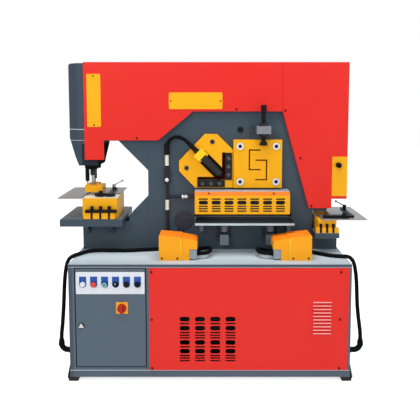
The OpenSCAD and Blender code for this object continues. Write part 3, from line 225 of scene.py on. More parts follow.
# noise sizes as scale and detail, ramps as low and high
enamelLook = {"cloud": (2.2, 4), "speck": (160, 2), "peel": (420, 2), "chips": (38, 3),
              "dustRamp": (0.35, 0.75), "chipRamp": (0.42, 0.62), "dust": 0.10, "dustShade": 0.62,
              "edge": 0.0016, "wornAndHighlight": 0.35, "chipHighlightGain": 1.5, "chipHighlightLift": 0.04, "speckRough": 0.12,
              "dustRough": 0.06, "bump": (0.12, 0.0004)}
steelLook = {"lines": (60, 4), "stain": (9, 4), "stainRamp": (0.4, 0.8), "stainMix": 0.25, "stainShade": 0.6,
             "lineRough": 0.25, "stainRough": 0.08, "bump": (0.18, 0.0003)}
mouldedLook = {"detail": 2, "cloud": (6, 3), "cloudRamp": (0.4, 0.8), "cloudMix": 0.12, "cloudShade": 0.7,
               "skinRough": 0.15, "bumpHigh": 0.0004}


def enamel(name, shade, rough=0.42, zones=(), gloss=0.22):
    paint, look = Finish(name), enamelLook
    colour = zoned(paint, shade, zones)
    cloudy = paint.noise(*look["cloud"])
    speck = paint.noise(*look["speck"])
    dust = paint.ramp(cloudy, *look["dustRamp"])
    colour = paint.mix(dust * look["dust"], colour, darker(shade, look["dustShade"]))
    # worn edges, partly painted highlight: chipped sharp edges are mixed toward a lighter copy of the paint
    # colour
    edge = paint.edges(look["edge"]) * paint.ramp(paint.noise(*look["chips"]), *look["chipRamp"])
    chipAndHighlight = tuple(min(1, v * look["chipHighlightGain"] + look["chipHighlightLift"]) for v in shade)
    colour = paint.mix(edge * look["wornAndHighlight"], colour, chipAndHighlight)
    peel = paint.noise(*look["peel"])
    dull = rough + (speck - 0.5) * look["speckRough"] + dust * look["dustRough"]
    paint.set(Base_Color=colour, Roughness=dull, Normal=paint.bump(peel, *look["bump"]))
    paint.shader.inputs["Specular IOR Level"].default_value = gloss
    return paint.material


def steel(name, shade, rough=0.36, stretch=(1, 30, 1), zones=(), metal=0.85, gloss=0.3):
    plate, look = Finish(name), steelLook
    colour = zoned(plate, shade, zones)
    lines = plate.noise(*look["lines"], stretch)
    stain = plate.ramp(plate.noise(*look["stain"]), *look["stainRamp"])
    colour = plate.mix(stain * look["stainMix"], colour, darker(shade, look["stainShade"]))
    dull = rough + (lines - 0.5) * look["lineRough"] + stain * look["stainRough"]
    plate.set(Base_Color=colour, Roughness=dull, Normal=plate.bump(lines, *look["bump"]))
    plate.shader.inputs["Metallic"].default_value = metal
    plate.shader.inputs["Specular IOR Level"].default_value = gloss
    return plate.material


def moulded(name, shade, rough=0.5, grain=520, zones=(), depth=0.15, gloss=0.25):
    plastic, look = Finish(name), mouldedLook
    colour = zoned(plastic, shade, zones)
    skin = plastic.noise(grain, look["detail"])
    cloudy = plastic.ramp(plastic.noise(*look["cloud"]), *look["cloudRamp"])
    colour = plastic.mix(cloudy * look["cloudMix"], colour, darker(shade, look["cloudShade"]))
    plastic.set(Base_Color=colour, Roughness=rough + (skin - 0.5) * look["skinRough"],
                Normal=plastic.bump(skin, depth, look["bumpHigh"]))
    plastic.shader.inputs["Specular IOR Level"].default_value = gloss
    return plastic.material


def zoneOf(test, shade):
    return lambda finish: (test(finish), shade)


def between(value, low, high):
    return (value > low) * (value < high)


def disc(finish, x, z):  # squared distance from a line along Y
    return (finish.x - x) * (finish.x - x) + (finish.z - z) * (finish.z - z)


red = srgb(230, 44, 36)
slate = srgb(86, 101, 115)
headSlate = srgb(72, 83, 95)
deckLitGrey = srgb(200, 214, 222)
deckLitFront = srgb(164, 178, 188)
frameBlue = srgb(62, 78, 90)
frameLow = srgb(62, 76, 87)
noseShadeBlue = srgb(46, 54, 62)
amber = srgb(250, 178, 16)
lemon = srgb(248, 206, 26)
guardOrange = srgb(240, 120, 20)
pedalAmber = srgb(255, 170, 22)
pedalTopShade = srgb(255, 134, 18)
terminalGrey = srgb(150, 162, 174)
blackSteel = srgb(26, 27, 30)
darkSteel = srgb(52, 54, 58)
paleSteel = srgb(170, 172, 176)
tableShadowDark = srgb(36, 42, 46)
supportGrey = srgb(112, 128, 140)
pivotDark = srgb(50, 54, 64)
postShade = srgb(68, 81, 93)
lineHighlight = srgb(176, 184, 194)
edgeHighlight = srgb(205, 214, 222)
ivory = srgb(226, 224, 214)
louvreHighlight = srgb(250, 190, 186)
screwRed = srgb(112, 14, 16)
lockWhite = srgb(240, 240, 240)
tabBlue = srgb(28, 82, 168)
white = srgb(230, 236, 244)
innerShade = srgb(30, 32, 36)
noseLitFacet = srgb(68, 82, 94)
noseShade = srgb(24, 28, 33)
oxideBlack = srgb(20, 21, 24)
midSteel = srgb(128, 132, 138)
plateSteel = srgb(150, 152, 155)
plateWarm = srgb(122, 120, 119)
tableLip = srgb(186, 200, 206)
tableTop = srgb(92, 96, 100)
bladeGrey = srgb(150, 152, 156)
mouldBlack = srgb(18, 19, 23)
rubberBlack = srgb(22, 23, 25)
buttonRed = srgb(222, 74, 52)
switchRed = srgb(178, 32, 20)
buttonGreen = srgb(10, 122, 138)

# where the colours change: offsets from a box, or places in the frame, in metres
noseZone = {"low": 0.103, "top": 0.093, "line": 0.069, "left": -0.812, "right": -0.712, "lip": 0.0005,
            "jointHalf": 0.0022, "lineHalf": 0.0014}
cabinetZone = {"skin": 0.0005, "postX": -0.808, "rail": (0.014, 0.002), "railLine": (0.019, 0.016),
               "panelLine": 0.006, "panelRail": 0.012, "deckSkin": 0.0008, "deckFade": (-0.41, -0.28)}
panelZone = {"face": 0.009, "louvre": 0.006, "slope": 0.2}
frameFade = (0.75, 1.25)
bolsterTop = 1.0575
guardZone = {"slant": 0.0245, "flat": 0.0015}
punchHolder = 0.0395
bracketZone = {"end": 0.015, "block": 0.28}
tableZone = {"skin": 0.0006, "lip": 0.014, "flat": 0.9, "edge": 0.004, "edgeY": -0.2, "under": -0.1}
supportZone = {"jack": (0.8345, 0.8735), "nut": (0.8185, 0.834), "left": 0.09, "right": 0.384, "half": 0.03}
screwZone = {"section": 0.0045, "sectionZ": (1.1, 1.45), "sectionX": (0.15, 0.46), "edge": 0.005,
             "blade": (0.0045, 0.0005), "bladeX": 0.15, "panelY": -0.4, "coverY": (-0.1262, -0.1219),
             "coverX": -0.5}
bladeZone = {"straight": 1.0, "beam": 1.1}
lineZone = {"top": 1.255, "valve": (0.971, 1.036), "dialY": -0.1265, "dialZ": (1.1, 1.2),
            "tagX": (-0.1795, -0.1405)}
holdDownZone = {"offset": 1.389, "depth": 0.0326}
pedalZone = {"slope": 0.5, "top": 0.8, "boxTop": 0.7768, "boxY": -0.273, "leftX": (-0.1228, 0),
             "rightX": (0.3, 0.4258)}
lockZone = {"turn": 0.008, "lobe": 0.0067, "angles": (90, 210, 330)}
greenRing = (0.0091, 0.0123)
plateZone = {"switchZ": 0.5, "printY": (-0.4152, -0.4131)}

noseBox, panelBox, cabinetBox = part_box("punch_nose"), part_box("front_panel"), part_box("base_cabinet")
bracketBox, tableBox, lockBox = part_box("hold_down_bracket"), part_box("shear_table"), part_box("door_lock")
jointZ = noseBox[1][2]
noseLow = noseBox[0][2] + noseZone["low"]
noseTop = jointZ - noseZone["top"]
noseLine = jointZ - noseZone["line"]
bracketLow = bracketBox[0][2] + bracketZone["end"]
bracketHigh = bracketBox[1][2] - bracketZone["end"]
tableFront, tableLow = tableBox[0][1:]
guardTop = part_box("shear_guard")[1][2]
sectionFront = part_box("section_plate")[0][1]
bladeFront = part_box("fixed_blades")[0][1]
panelFront = panelBox[0][1] + panelZone["face"]
panelLow = panelBox[0][2]
cabinetFront = cabinetBox[0][1] + cabinetZone["skin"]
deckTop = cabinetBox[1][2]
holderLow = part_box("punch")[1][2] - punchHolder
lockX = (lockBox[0][0] + lockBox[1][0]) / 2
lockZ = lockBox[1][2] - (lockBox[1][0] - lockBox[0][0]) / 2
lockLobes = [(lockX + lockZone["turn"] * math.cos(math.radians(a)),
              lockZ + lockZone["turn"] * math.sin(math.radians(a))) for a in lockZone["angles"]]
greenLow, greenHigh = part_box("green_button")
greenX, greenZ = (greenLow[0] + greenHigh[0]) / 2, (greenLow[2] + greenHigh[2]) / 2


def cabinetStripe(top, low, high):
    return lambda f: (f.y < cabinetFront) * between(f.z, top - low, top - high)


def jackScrew(finish):
    nearLeft = abs(finish.x - supportZone["left"]) < supportZone["half"]
    nearRight = abs(finish.x - supportZone["right"]) < supportZone["half"]
    return between(finish.z, *supportZone["jack"]) * (nearLeft + nearRight)


def sectionScrew(finish):
    ahead = finish.y < sectionFront - screwZone["section"]
    return ahead * between(finish.z, *screwZone["sectionZ"]) * between(finish.x, *screwZone["sectionX"])


# painted highlight: a pale ring along the rims of the blade bolts
def bladeScrewHighlight(finish):
    depth = between(finish.y, *[bladeFront - v for v in screwZone["blade"]])
    return finish.edges(screwZone["edge"]) * depth * (finish.x < screwZone["bladeX"])


def coverScrew(finish):
    onCover = between(finish.y, *screwZone["coverY"]) * (finish.x > screwZone["coverX"])
    return (finish.y < screwZone["panelY"]) + onCover


def lineDial(finish):
    dial = (finish.y < lineZone["dialY"]) * between(finish.z, *lineZone["dialZ"])
    return dial + between(finish.x, *lineZone["tagX"])


def terminalBox(finish):
    aside = between(finish.x, *pedalZone["leftX"]) + between(finish.x, *pedalZone["rightX"])
    return aside * (finish.z < pedalZone["boxTop"]) * (finish.y < pedalZone["boxY"])


# painted highlight: pale along the outer sharp edges of the work tables
def tableEdgeHighlight(finish):
    outer = (finish.y < tableZone["edgeY"]) * (finish.up > tableZone["under"])
    return finish.edges(tableZone["edge"]) * outer


finishes = {
    "redEnamel": enamel("redEnamel", red, rough=0.38),
    "panelEnamel": enamel("panelEnamel", red, rough=0.38, zones=[
        # painted highlight: the upward faces of the louvre hoods are painted pale pink
        zoneOf(lambda f: (f.y < panelFront - panelZone["louvre"]) * (f.up > panelZone["slope"]),
               louvreHighlight)]),
    # painted shade: the equipment inside the cabinet is painted near-black so it reads as the dark inside
    # seen through the vents
    "innerShadeEnamel": enamel("innerShadeEnamel", innerShade, rough=0.55),
    "slateEnamel": enamel("slateEnamel", slate, rough=0.46),
    "headEnamel": enamel("headEnamel", headSlate, rough=0.42, zones=[
        # painted shade: the nose below the cover is painted darker blue-slate, the red cover's shadow
        zoneOf(lambda f: f.z < noseTop, noseShadeBlue),
        # painted light: the nose's left facet is painted lighter, its lit side
        zoneOf(lambda f: (f.z < noseTop) * (f.x < noseZone["left"]), noseLitFacet),
        zoneOf(lambda f: (f.z < noseTop) * (f.x > noseZone["right"]), noseShade),
        zoneOf(lambda f: f.z < noseLow + noseZone["lip"], blackSteel),
        # painted highlight: pale lines along the joint and along the line below it
        zoneOf(lambda f: abs(f.z - jointZ) < noseZone["jointHalf"], edgeHighlight),
        zoneOf(lambda f: abs(f.z - noseLine) < noseZone["lineHalf"], edgeHighlight)], gloss=0),
    "cabinetEnamel": enamel("cabinetEnamel", slate, rough=0.46, zones=[
        # painted shade: the left post's front and the rail bands under the deck and below the panel are
        # darker slate
        zoneOf(lambda f: (f.y < cabinetFront) * (f.x < cabinetZone["postX"]), postShade),
        zoneOf(cabinetStripe(deckTop, *cabinetZone["rail"]), postShade),
        # painted highlight: thin pale lines under the deck's edge and just below the panel
        zoneOf(cabinetStripe(deckTop, *cabinetZone["railLine"]), lineHighlight),
        zoneOf(cabinetStripe(panelLow, cabinetZone["panelLine"], 0), lineHighlight),
        zoneOf(cabinetStripe(panelLow, cabinetZone["panelRail"], cabinetZone["panelLine"]), postShade),
        # painted light: the deck's top face is painted much paler than the slate sides, fading darker toward
        # its front edge
        zoneOf(lambda f: f.z > deckTop - cabinetZone["deckSkin"], deckLitGrey),
        zoneOf(lambda f: (f.z > deckTop - cabinetZone["deckSkin"])
               * (1 - f.ramp(f.y, *cabinetZone["deckFade"])), deckLitFront)]),
    "frameEnamel": enamel("frameEnamel", frameBlue, rough=0.5, zones=[
        zoneOf(lambda f: 1 - f.ramp(f.z, *frameFade), frameLow)]),
    "amberEnamel": enamel("amberEnamel", amber, rough=0.45),
    "bolsterEnamel": enamel("bolsterEnamel", amber, rough=0.45, zones=[
        zoneOf(lambda f: f.z > bolsterTop, ivory)]),
    "guardEnamel": enamel("guardEnamel", amber, rough=0.45, zones=[
        zoneOf(lambda f: f.z > guardTop - guardZone["slant"], guardOrange),
        zoneOf(lambda f: f.z > guardTop - guardZone["flat"], terminalGrey)]),
    "feetEnamel": enamel("feetEnamel", blackSteel, rough=0.55),
    "blackOxide": steel("blackOxide", oxideBlack, rough=0.42, stretch=(1, 1, 12), metal=0.2, gloss=0.1),
    "punchSteel": steel("punchSteel", paleSteel, rough=0.34, stretch=(1, 1, 20), zones=[
        zoneOf(lambda f: f.z > holderLow, blackSteel)]),
    "pivotEnamel": enamel("pivotEnamel", pivotDark, rough=0.5),
    "groundSteel": steel("groundSteel", paleSteel, rough=0.34),
    "bracketSteel": steel("bracketSteel", midSteel, rough=0.42, stretch=(1, 1, 8), zones=[
        zoneOf(lambda f: (f.z < bracketLow) + (f.z > bracketHigh), blackSteel),
        # painted shadow: the block left of the bracket is dark grey where the bracket's shadow falls on the
        # frame
        zoneOf(lambda f: f.x < bracketZone["block"], darkSteel)], metal=0.4),
    "tablePlate": steel("tablePlate", plateSteel, rough=0.4, stretch=(30, 1, 1), zones=[
        zoneOf(lambda f: f.x < 0, plateWarm)]),
    # painted shadow: the shear table is near-black, the guard's shadow on its top; the front lip below is
    # pale
    "shearTable": steel("shearTable", tableShadowDark, rough=0.4, stretch=(30, 1, 1), zones=[
        zoneOf(lambda f: (f.y < tableFront + tableZone["skin"]) * (f.z < tableLow + tableZone["lip"]),
               tableLip)], metal=0.4),
    "supportMetal": enamel("supportMetal", supportGrey, rough=0.45, zones=[
        zoneOf(jackScrew, midSteel),
        zoneOf(lambda f: between(f.z, *supportZone["nut"]), blackSteel)]),
    "tableEnamel": enamel("tableEnamel", frameLow, rough=0.45, zones=[
        zoneOf(lambda f: f.up > tableZone["flat"], tableTop),
        # painted highlight along the table edges
        zoneOf(tableEdgeHighlight, edgeHighlight)]),
    "screwSteel": steel("screwSteel", blackSteel, rough=0.4, stretch=(1, 1, 1), zones=[
        zoneOf(sectionScrew, white),
        zoneOf(bladeScrewHighlight, paleSteel),
        zoneOf(coverScrew, screwRed)], metal=0.1, gloss=0.1),
    "bladeSteel": steel("bladeSteel", blackSteel, rough=0.38, stretch=(1, 1, 20), zones=[
        zoneOf(lambda f: f.z < bladeZone["straight"], bladeGrey)], metal=0.5),
    "beamSteel": steel("beamSteel", darkSteel, rough=0.42, stretch=(1, 1, 20), zones=[
        zoneOf(lambda f: f.z > bladeZone["beam"], blackSteel)], metal=0.5),
    "lineMetal": steel("lineMetal", blackSteel, rough=0.4, stretch=(1, 1, 8), zones=[
        zoneOf(lambda f: (f.z > lineZone["top"]) + between(f.z, *lineZone["valve"]), ivory),
        zoneOf(lineDial, white)], metal=0.2),
    "holdDown": steel("holdDown", blackSteel, rough=0.36, stretch=(1, 1, 8), zones=[
        zoneOf(lambda f: (f.x - f.z + holdDownZone["offset"]) < holdDownZone["depth"], lemon)], metal=0.2),
    "lemonEnamel": enamel("lemonEnamel", lemon, rough=0.42),
    "pedalMoulding": moulded("pedalMoulding", pedalAmber, rough=0.48, zones=[
        # painted shade: the hood's upward sloped top is painted a darker orange than its front
        zoneOf(lambda f: (f.up > pedalZone["slope"]) * (f.z > pedalZone["top"]), pedalTopShade),
        zoneOf(terminalBox, terminalGrey)]),
    "blackMoulding": moulded("blackMoulding", mouldBlack, rough=0.5, gloss=0.08),
    "cordJacket": moulded("cordJacket", rubberBlack, rough=0.6, grain=300, depth=0.1, gloss=0),
    "redMoulding": moulded("redMoulding", buttonRed, rough=0.3, depth=0.03),
    "switchMoulding": moulded("switchMoulding", switchRed, rough=0.4, depth=0.03),
    "greenMoulding": moulded("greenMoulding", buttonGreen, rough=0.3, zones=[
        zoneOf(lambda f: between(disc(f, greenX, greenZ), *[v ** 2 for v in greenRing]), white)], depth=0.03),
    "blueMoulding": moulded("blueMoulding", tabBlue, rough=0.35, depth=0.03),
    "lockMetal": steel("lockMetal", darkSteel, rough=0.4, stretch=(1, 1, 1), zones=[
        zoneOf(lambda f, at=at: disc(f, *at) < lockZone["lobe"] ** 2, lockWhite)
        for at in lockLobes], metal=0.2, gloss=0.1),
    "whiteMoulding": moulded("whiteMoulding", white, rough=0.35, depth=0.03),
    "controlPrint": moulded("controlPrint", white, rough=0.35, grain=300, zones=[
        zoneOf(lambda f: f.z < plateZone["switchZ"], amber),
        zoneOf(lambda f: between(f.y, *plateZone["printY"]), tabBlue)], depth=0.03),
}
dressing = {
    "panelEnamel": ["front_panel"],
    "redEnamel": ["left_front_cover", "right_front_cover", "rear_cover"],
    "slateEnamel": ["cabinet_door"],
    "headEnamel": ["cylinder_housing", "punch_nose"],
    "cabinetEnamel": ["base_cabinet"],
    "frameEnamel": ["front_frame_plate", "rear_frame_plate", "frame_spacers", "shear_beam"],
    "pivotEnamel": ["pivot_pin"],
    "punchSteel": ["punch"],
    "amberEnamel": ["access_plates", "stripper", "angle_plate", "section_plate"],
    "bolsterEnamel": ["die_bolsters"],
    "guardEnamel": ["shear_guard"],
    "feetEnamel": ["anchor_feet", "left_treadle", "right_treadle"],
    "blackOxide": ["punch_ram", "bolster_clamps", "punch_fence", "notch_fence", "hold_down_screw",
                   "notch_punch", "hold_down_rod", "notch_fence_lever"],
    "groundSteel": ["punch_die", "shear_cylinder", "shear_rod", "punch_fence_lever"],
    "innerShadeEnamel": ["inner_equipment"],
    "lockMetal": ["door_lock"],
    "tableEnamel": ["work_tables"],
    "switchMoulding": ["main_switch"],
    "bracketSteel": ["hold_down_bracket"],
    "tablePlate": ["gauge_plates"],
    "shearTable": ["shear_table"],
    "supportMetal": ["table_supports"],
    "screwSteel": ["cover_screws"],
    "bladeSteel": ["fixed_blades"],
    "beamSteel": ["beam_blades"],
    "lineMetal": ["hydraulic_line"],
    "holdDown": ["hold_down_cylinder"],
    "pedalMoulding": ["left_pedal_hood", "right_pedal_hood"],
    "blackMoulding": ["mode_selector", "left_black_button", "right_black_button"],
    "cordJacket": ["hydraulic_hose", "cable_glands"],
    "redMoulding": ["red_button"],
    "greenMoulding": ["green_button"],
    "controlPrint": ["control_plates"],
}
for finish, names in dressing.items():
    for name in names:
        mesh = nodes[name].data
        mesh.materials.clear()
        mesh.materials.append(finishes[finish])
for cord in (leftCord, rightCord):
    cord.data.materials.append(finishes["cordJacket"])
print("stage: finishes on")


def choose(*pieces):
    bpy.ops.object.select_all(action="DESELECT")
    for piece in pieces:
        piece.select_set(True)
    bpy.context.view_layer.objects.active = pieces[-1]


def rodBetween(start, end, radius, sides=32, tip=None):
    start, end = Vector(start), Vector(end)
    bpy.ops.object.select_all(action="DESELECT")
    bpy.ops.mesh.primitive_cone_add(
        vertices=sides, radius1=radius, radius2=tip or radius, depth=(end - start).length,
        location=(start + end) / 2, rotation=(end - start).to_track_quat("Z", "Y").to_euler())
    bpy.ops.object.transform_apply(location=True, rotation=True, scale=True)
    return bpy.context.object


def blockBetween(low, high):
    low, high = Vector(low), Vector(high)
    bpy.ops.object.select_all(action="DESELECT")
    bpy.ops.mesh.primitive_cube_add(size=1, location=(low + high) / 2, scale=high - low)
    bpy.ops.object.transform_apply(location=True, rotation=True, scale=True)
    return bpy.context.object


facing = 0.98
softEdge = {"from": math.radians(35), "smooth": math.radians(40)}


def pickFaces(piece, way):
    choose(piece)
    bpy.ops.object.mode_set(mode="EDIT")
    bpy.ops.mesh.select_mode(type="FACE")
    bpy.ops.mesh.select_all(action="DESELECT")
    bpy.ops.object.mode_set(mode="OBJECT")
    for face in piece.data.polygons:
        face.select = face.normal.dot(way) > facing
    bpy.ops.object.mode_set(mode="EDIT")


def sinkCap(piece, way, rim, depth):
    way = Vector(way).normalized()
    pickFaces(piece, way)
    bpy.ops.mesh.inset(thickness=rim)
    bpy.ops.mesh.extrude_region_move(TRANSFORM_OT_translate={"value": way * -depth})
    bpy.ops.object.mode_set(mode="OBJECT")
    return piece


def soften(piece, width, steps=2):
    choose(piece)
    edge = piece.modifiers.new("edge", "BEVEL")
    edge.width = width
    edge.segments = steps
    edge.limit_method = "ANGLE"
    edge.angle_limit = softEdge["from"]
    bpy.ops.object.modifier_apply(modifier="edge")
    bpy.ops.object.shade_smooth_by_angle(angle=softEdge["smooth"])
    return piece


def settle(name, parts, body, finish):
    choose(*parts)
    if len(parts) > 1:
        bpy.ops.object.join()
    piece = bpy.context.object
    piece.name = name
    piece.data.name = name
    piece.data.materials.append(finishes[finish])
    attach(piece, body)
    return piece


front = Vector((0, -1, 0))
hexSides, screwSides, ringSides = 6, 24, 48

# hose ends: a hex nut and a crimped ferrule at each
hoseEnd = {"nut": 0.0185, "nutLength": 0.016, "core": 0.0128, "ring": 0.0160, "rings": 6, "pitch": 0.0095,
           "gap": 0.0022, "edge": 0.0009}
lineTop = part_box("hydraulic_line")[1][2]
hoseStarts = {"lineHoseEnd": ((-0.273, -0.109, lineTop), (-0.02, -0.02, 1)),
              "blockHoseEnd": ((-0.0783, -0.142, 1.3433), (-1, 0, 1))}
for name, (start, way) in hoseStarts.items():
    start, way = Vector(start), Vector(way).normalized()
    first = start + way * hoseEnd["nutLength"]
    crimp = hoseEnd["rings"] * hoseEnd["pitch"]
    parts = [rodBetween(start, first, hoseEnd["nut"], hexSides),
             rodBetween(first, first + way * crimp, hoseEnd["core"])]
    for i in range(hoseEnd["rings"]):
        low = first + way * (i * hoseEnd["pitch"] + hoseEnd["gap"])
        parts.append(rodBetween(low, low + way * (hoseEnd["pitch"] - hoseEnd["gap"]), hoseEnd["ring"]))
    settle(name, [soften(part, hoseEnd["edge"]) for part in parts], "machine", "blackOxide")
print("stage: hose ends")

# cord strain reliefs: a ribbed taper at each terminal box and gland
relief = {"root": 0.0165, "tip": 0.0112, "length": 0.024, "ribs": 3, "first": 0.4, "rib": 0.004,
          "over": 0.0014, "edge": 0.0008}
for side in ("left", "right"):
    route = pedalCords[side]
    for place, (at, toward) in {"Terminal": route[:2], "Gland": (route[-1], route[-2])}.items():
        start = Vector(at) / 1000
        way = (Vector(toward) / 1000 - start).normalized()
        parts = [rodBetween(start, start + way * relief["length"], relief["root"], tip=relief["tip"])]
        for i in range(relief["ribs"]):
            share = (i + relief["first"]) / relief["ribs"]
            low = start + way * relief["length"] * share
            radius = relief["root"] + (relief["tip"] - relief["root"]) * share + relief["over"]
            parts.append(rodBetween(low, low + way * relief["rib"], radius))
        settle(side + place + "Relief", [soften(part, relief["edge"]) for part in parts], "machine",
               "cordJacket")
print("stage: strain reliefs")

# pedals: ribbed rubber pads on the treadles and screws in the hoods
pad = {"thick": 0.003, "inset": 0.008, "length": 0.078, "ribs": 7, "rib": 0.005, "ribHigh": 0.0022,
       "edge": 0.0006}
for side in ("left", "right"):
    low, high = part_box(side + "_treadle")
    start = low[0] + pad["inset"] if side == "left" else high[0] - pad["inset"] - pad["length"]
    depth = (low[1] + pad["inset"], high[1] - pad["inset"])
    top = high[2] + pad["thick"]
    parts = [blockBetween((start, depth[0], high[2]), (start + pad["length"], depth[1], top))]
    for i in range(pad["ribs"]):
        x = start + pad["length"] * (i + 0.5) / pad["ribs"]
        parts.append(blockBetween((x - pad["rib"] / 2, depth[0] + pad["rib"], top),
                                  (x + pad["rib"] / 2, depth[1] - pad["rib"], top + pad["ribHigh"])))
    settle(side + "TreadlePad", [soften(part, pad["edge"]) for part in parts], side + "_treadle",
           "blackMoulding")
hoodScrew = {"radius": 0.006, "high": 0.0025, "rim": 0.0028, "sink": 0.0014, "edge": 0.0006, "above": 0.014,
             "left": [-0.287, -0.195], "right": [0.498, 0.59]}
for side in ("left", "right"):
    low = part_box(side + "_pedal_hood")[0]
    parts = []
    for x in hoodScrew[side]:
        at = Vector((x, low[1], low[2] + hoodScrew["above"]))
        head = rodBetween(at, at + front * hoodScrew["high"], hoodScrew["radius"], screwSides)
        parts.append(soften(sinkCap(head, front, hoodScrew["rim"], hoodScrew["sink"]), hoodScrew["edge"]))
    settle(side + "HoodScrews", parts, "machine", "blackOxide")
hoodStrip = {"half": 0.004, "thick": 0.002, "low": 0.004, "high": 0.128, "edge": 0.0009,
             "left": -0.173, "right": 0.476}
for side in ("left", "right"):
    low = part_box(side + "_pedal_hood")[0]
    x = hoodStrip[side]
    strip = blockBetween((x - hoodStrip["half"], low[1] - hoodStrip["thick"], low[2] + hoodStrip["low"]),
                         (x + hoodStrip["half"], low[1], low[2] + hoodStrip["high"]))
    settle(side + "HoodStrip", [soften(strip, hoodStrip["edge"])], "machine", "lemonEnamel")
print("stage: pedal details")

# controls: a bezel round each button, and the selector's pointer
bezel = {"outer": 0.0195, "rim": 0.0025, "high": 0.0035, "sink": 0.0033, "edge": 0.0007, "plateY": -0.415}
controls = ("lamp", "red_button", "green_button", "mode_selector", "left_black_button", "right_black_button")
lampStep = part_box("red_button")[0][0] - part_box("green_button")[0][0]
for name in controls:
    low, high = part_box("red_button" if name == "lamp" else name)
    x = (low[0] + high[0]) / 2 + (lampStep if name == "lamp" else 0)
    at = Vector((x, bezel["plateY"], (low[2] + high[2]) / 2))
    ring = rodBetween(at, at + front * bezel["high"], bezel["outer"], ringSides)
    sinkCap(ring, front, bezel["rim"], bezel["sink"])
    settle(name + "Bezel", [soften(ring, bezel["edge"])], "door", "blueMoulding")
pointer = {"half": 0.0018, "long": 0.0125, "high": 0.0012, "edge": 0.0004}
low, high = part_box("mode_selector")
knobX, knobZ = (low[0] + high[0]) / 2, (low[2] + high[2]) / 2
mark = blockBetween((knobX - pointer["half"], low[1] - pointer["high"], knobZ),
                    (knobX + pointer["half"], low[1], knobZ + pointer["long"]))
settle("selectorPointer", [soften(mark, pointer["edge"])], "mode_selector", "whiteMoulding")
print("stage: controls")

# guard screws on the slanted top edge, clamp lobes under the hold-down block, nuts on the notch bolster
guardScrew = {"radius": 0.0055, "high": 0.004, "rim": 0.0022, "sink": 0.002, "edge": 0.0009,
              "places": (-0.007, 0.3945), "behind": 0.0085, "below": 0.012, "slant": (0, -0.024, 0.017)}
slant = Vector(guardScrew["slant"]).normalized()
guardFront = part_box("shear_guard")[0][1]
parts = []
for x in guardScrew["places"]:
    at = Vector((x, guardFront + guardScrew["behind"], guardTop - guardScrew["below"]))
    head = rodBetween(at, at + slant * guardScrew["high"], guardScrew["radius"], screwSides)
    parts.append(soften(sinkCap(head, slant, guardScrew["rim"], guardScrew["sink"]), guardScrew["edge"]))
settle("guardScrews", parts, "machine", "blackOxide")
lobe = {"radius": 0.011, "length": 0.014, "aside": 0.0255, "ahead": 0.023, "edge": 0.003,
        "block": (-0.062, -0.130, 1.327)}
blockMid = Vector(lobe["block"])
ahead, aside = Vector((1, 0, -1)).normalized(), Vector((1, 0, 1)).normalized()
parts = []
for way in (-1, 1):
    at = blockMid + ahead * lobe["ahead"] + aside * lobe["aside"] * way
    parts.append(soften(rodBetween(at, at + ahead * lobe["length"], lobe["radius"]), lobe["edge"]))
settle("holdDownLobes", parts, "machine", "lemonEnamel")
notchNut = {"radius": 0.0098, "low": 0.8835, "high": 0.9, "depth": -0.2003, "edge": 0.0012,
            "places": (0.690, 0.729, 0.768)}
parts = []
for x in notchNut["places"]:
    nut = rodBetween((x, notchNut["depth"], notchNut["low"]), (x, notchNut["depth"], notchNut["high"]),
                     notchNut["radius"], hexSides)
    parts.append(soften(nut, notchNut["edge"]))
settle("notchNuts", parts, "machine", "blackOxide")
print("stage: shear details")

# floor, white where the camera sees it, and soft light
studio = {"floor": 30, "floorZ": -0.0005, "floorShade": 0.8, "floorRough": 0.9, "floorGlow": 0.7,
          "world": 0.4}
lights = {
    "keyLight": {"place": (-2.6, -4.2, 3.6), "target": (0, 0, 1.0), "size": 2.5, "power": 76},
    "fillLight": {"place": (3.4, -3.6, 2.2), "target": (0, 0, 0.9), "size": 3.0, "power": 38},
    "topLight": {"place": (0, -0.4, 4.6), "target": (0, 0, 0.8), "size": 3.0, "power": 160},
}


def seenRays(tree):
    path = tree.nodes.new("ShaderNodeLightPath")
    total = path.outputs["Is Camera Ray"]
    for kind in ("Is Glossy Ray", "Is Transmission Ray"):
        either = tree.nodes.new("ShaderNodeMath")
        either.operation = "MAXIMUM"
        tree.links.new(total, either.inputs[0])
        tree.links.new(path.outputs[kind], either.inputs[1])
        total = either.outputs[0]
    return total


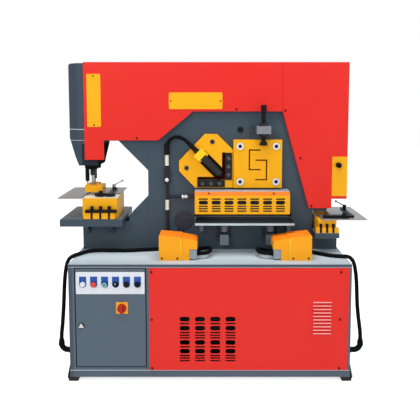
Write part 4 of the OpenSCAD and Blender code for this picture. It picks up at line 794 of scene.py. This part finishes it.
bpy.ops.mesh.primitive_plane_add(size=studio["floor"], location=(0, 0, studio["floorZ"]))
floor = bpy.context.object
floor.name = "floor"
floorPaint = bpy.data.materials.new("floorPaint")
floorPaint.use_nodes = True
floorTree = floorPaint.node_tree
floorShader = next(n for n in floorTree.nodes if n.type == "BSDF_PRINCIPLED")
floorShader.inputs["Base Color"].default_value = (*[studio["floorShade"]] * 3, 1)
floorShader.inputs["Roughness"].default_value = studio["floorRough"]
floorOut = next(n for n in floorTree.nodes if n.type == "OUTPUT_MATERIAL")
glow = floorTree.nodes.new("ShaderNodeEmission")
glow.inputs["Strength"].default_value = studio["floorGlow"]
lifted = floorTree.nodes.new("ShaderNodeAddShader")
floorTree.links.new(floorShader.outputs[0], lifted.inputs[0])
floorTree.links.new(glow.outputs[0], lifted.inputs[1])
floorSeen = floorTree.nodes.new("ShaderNodeMixShader")
floorTree.links.new(seenRays(floorTree), floorSeen.inputs[0])
floorTree.links.new(floorShader.outputs[0], floorSeen.inputs[1])
floorTree.links.new(lifted.outputs[0], floorSeen.inputs[2])
floorTree.links.new(floorSeen.outputs[0], floorOut.inputs["Surface"])
floor.data.materials.append(floorPaint)

world = bpy.data.worlds.new("studio")
scene.world = world
world.use_nodes = True
worldTree = world.node_tree
sky = next(n for n in worldTree.nodes if n.type == "BACKGROUND")
sky.inputs["Color"].default_value = (1, 1, 1, 1)
sky.inputs["Strength"].default_value = studio["world"]
backdrop = worldTree.nodes.new("ShaderNodeBackground")
backdrop.inputs["Color"].default_value = (1, 1, 1, 1)
backdrop.inputs["Strength"].default_value = 1
seen = worldTree.nodes.new("ShaderNodeMixShader")
worldOut = next(n for n in worldTree.nodes if n.type == "OUTPUT_WORLD")
worldTree.links.new(seenRays(worldTree), seen.inputs[0])
worldTree.links.new(sky.outputs[0], seen.inputs[1])
worldTree.links.new(backdrop.outputs[0], seen.inputs[2])
worldTree.links.new(seen.outputs[0], worldOut.inputs[0])


def softLight(name, place, target, size, power):
    bpy.ops.object.light_add(type="AREA", location=place)
    lamp = bpy.context.object
    lamp.name = name
    lamp.data.size = size
    lamp.data.energy = power
    lamp.rotation_euler = (Vector(target) - Vector(place)).to_track_quat("-Z", "Y").to_euler()


for name, light in lights.items():
    softLight(name, **light)
scene.view_settings.view_transform = "Standard"
print("stage: light set")
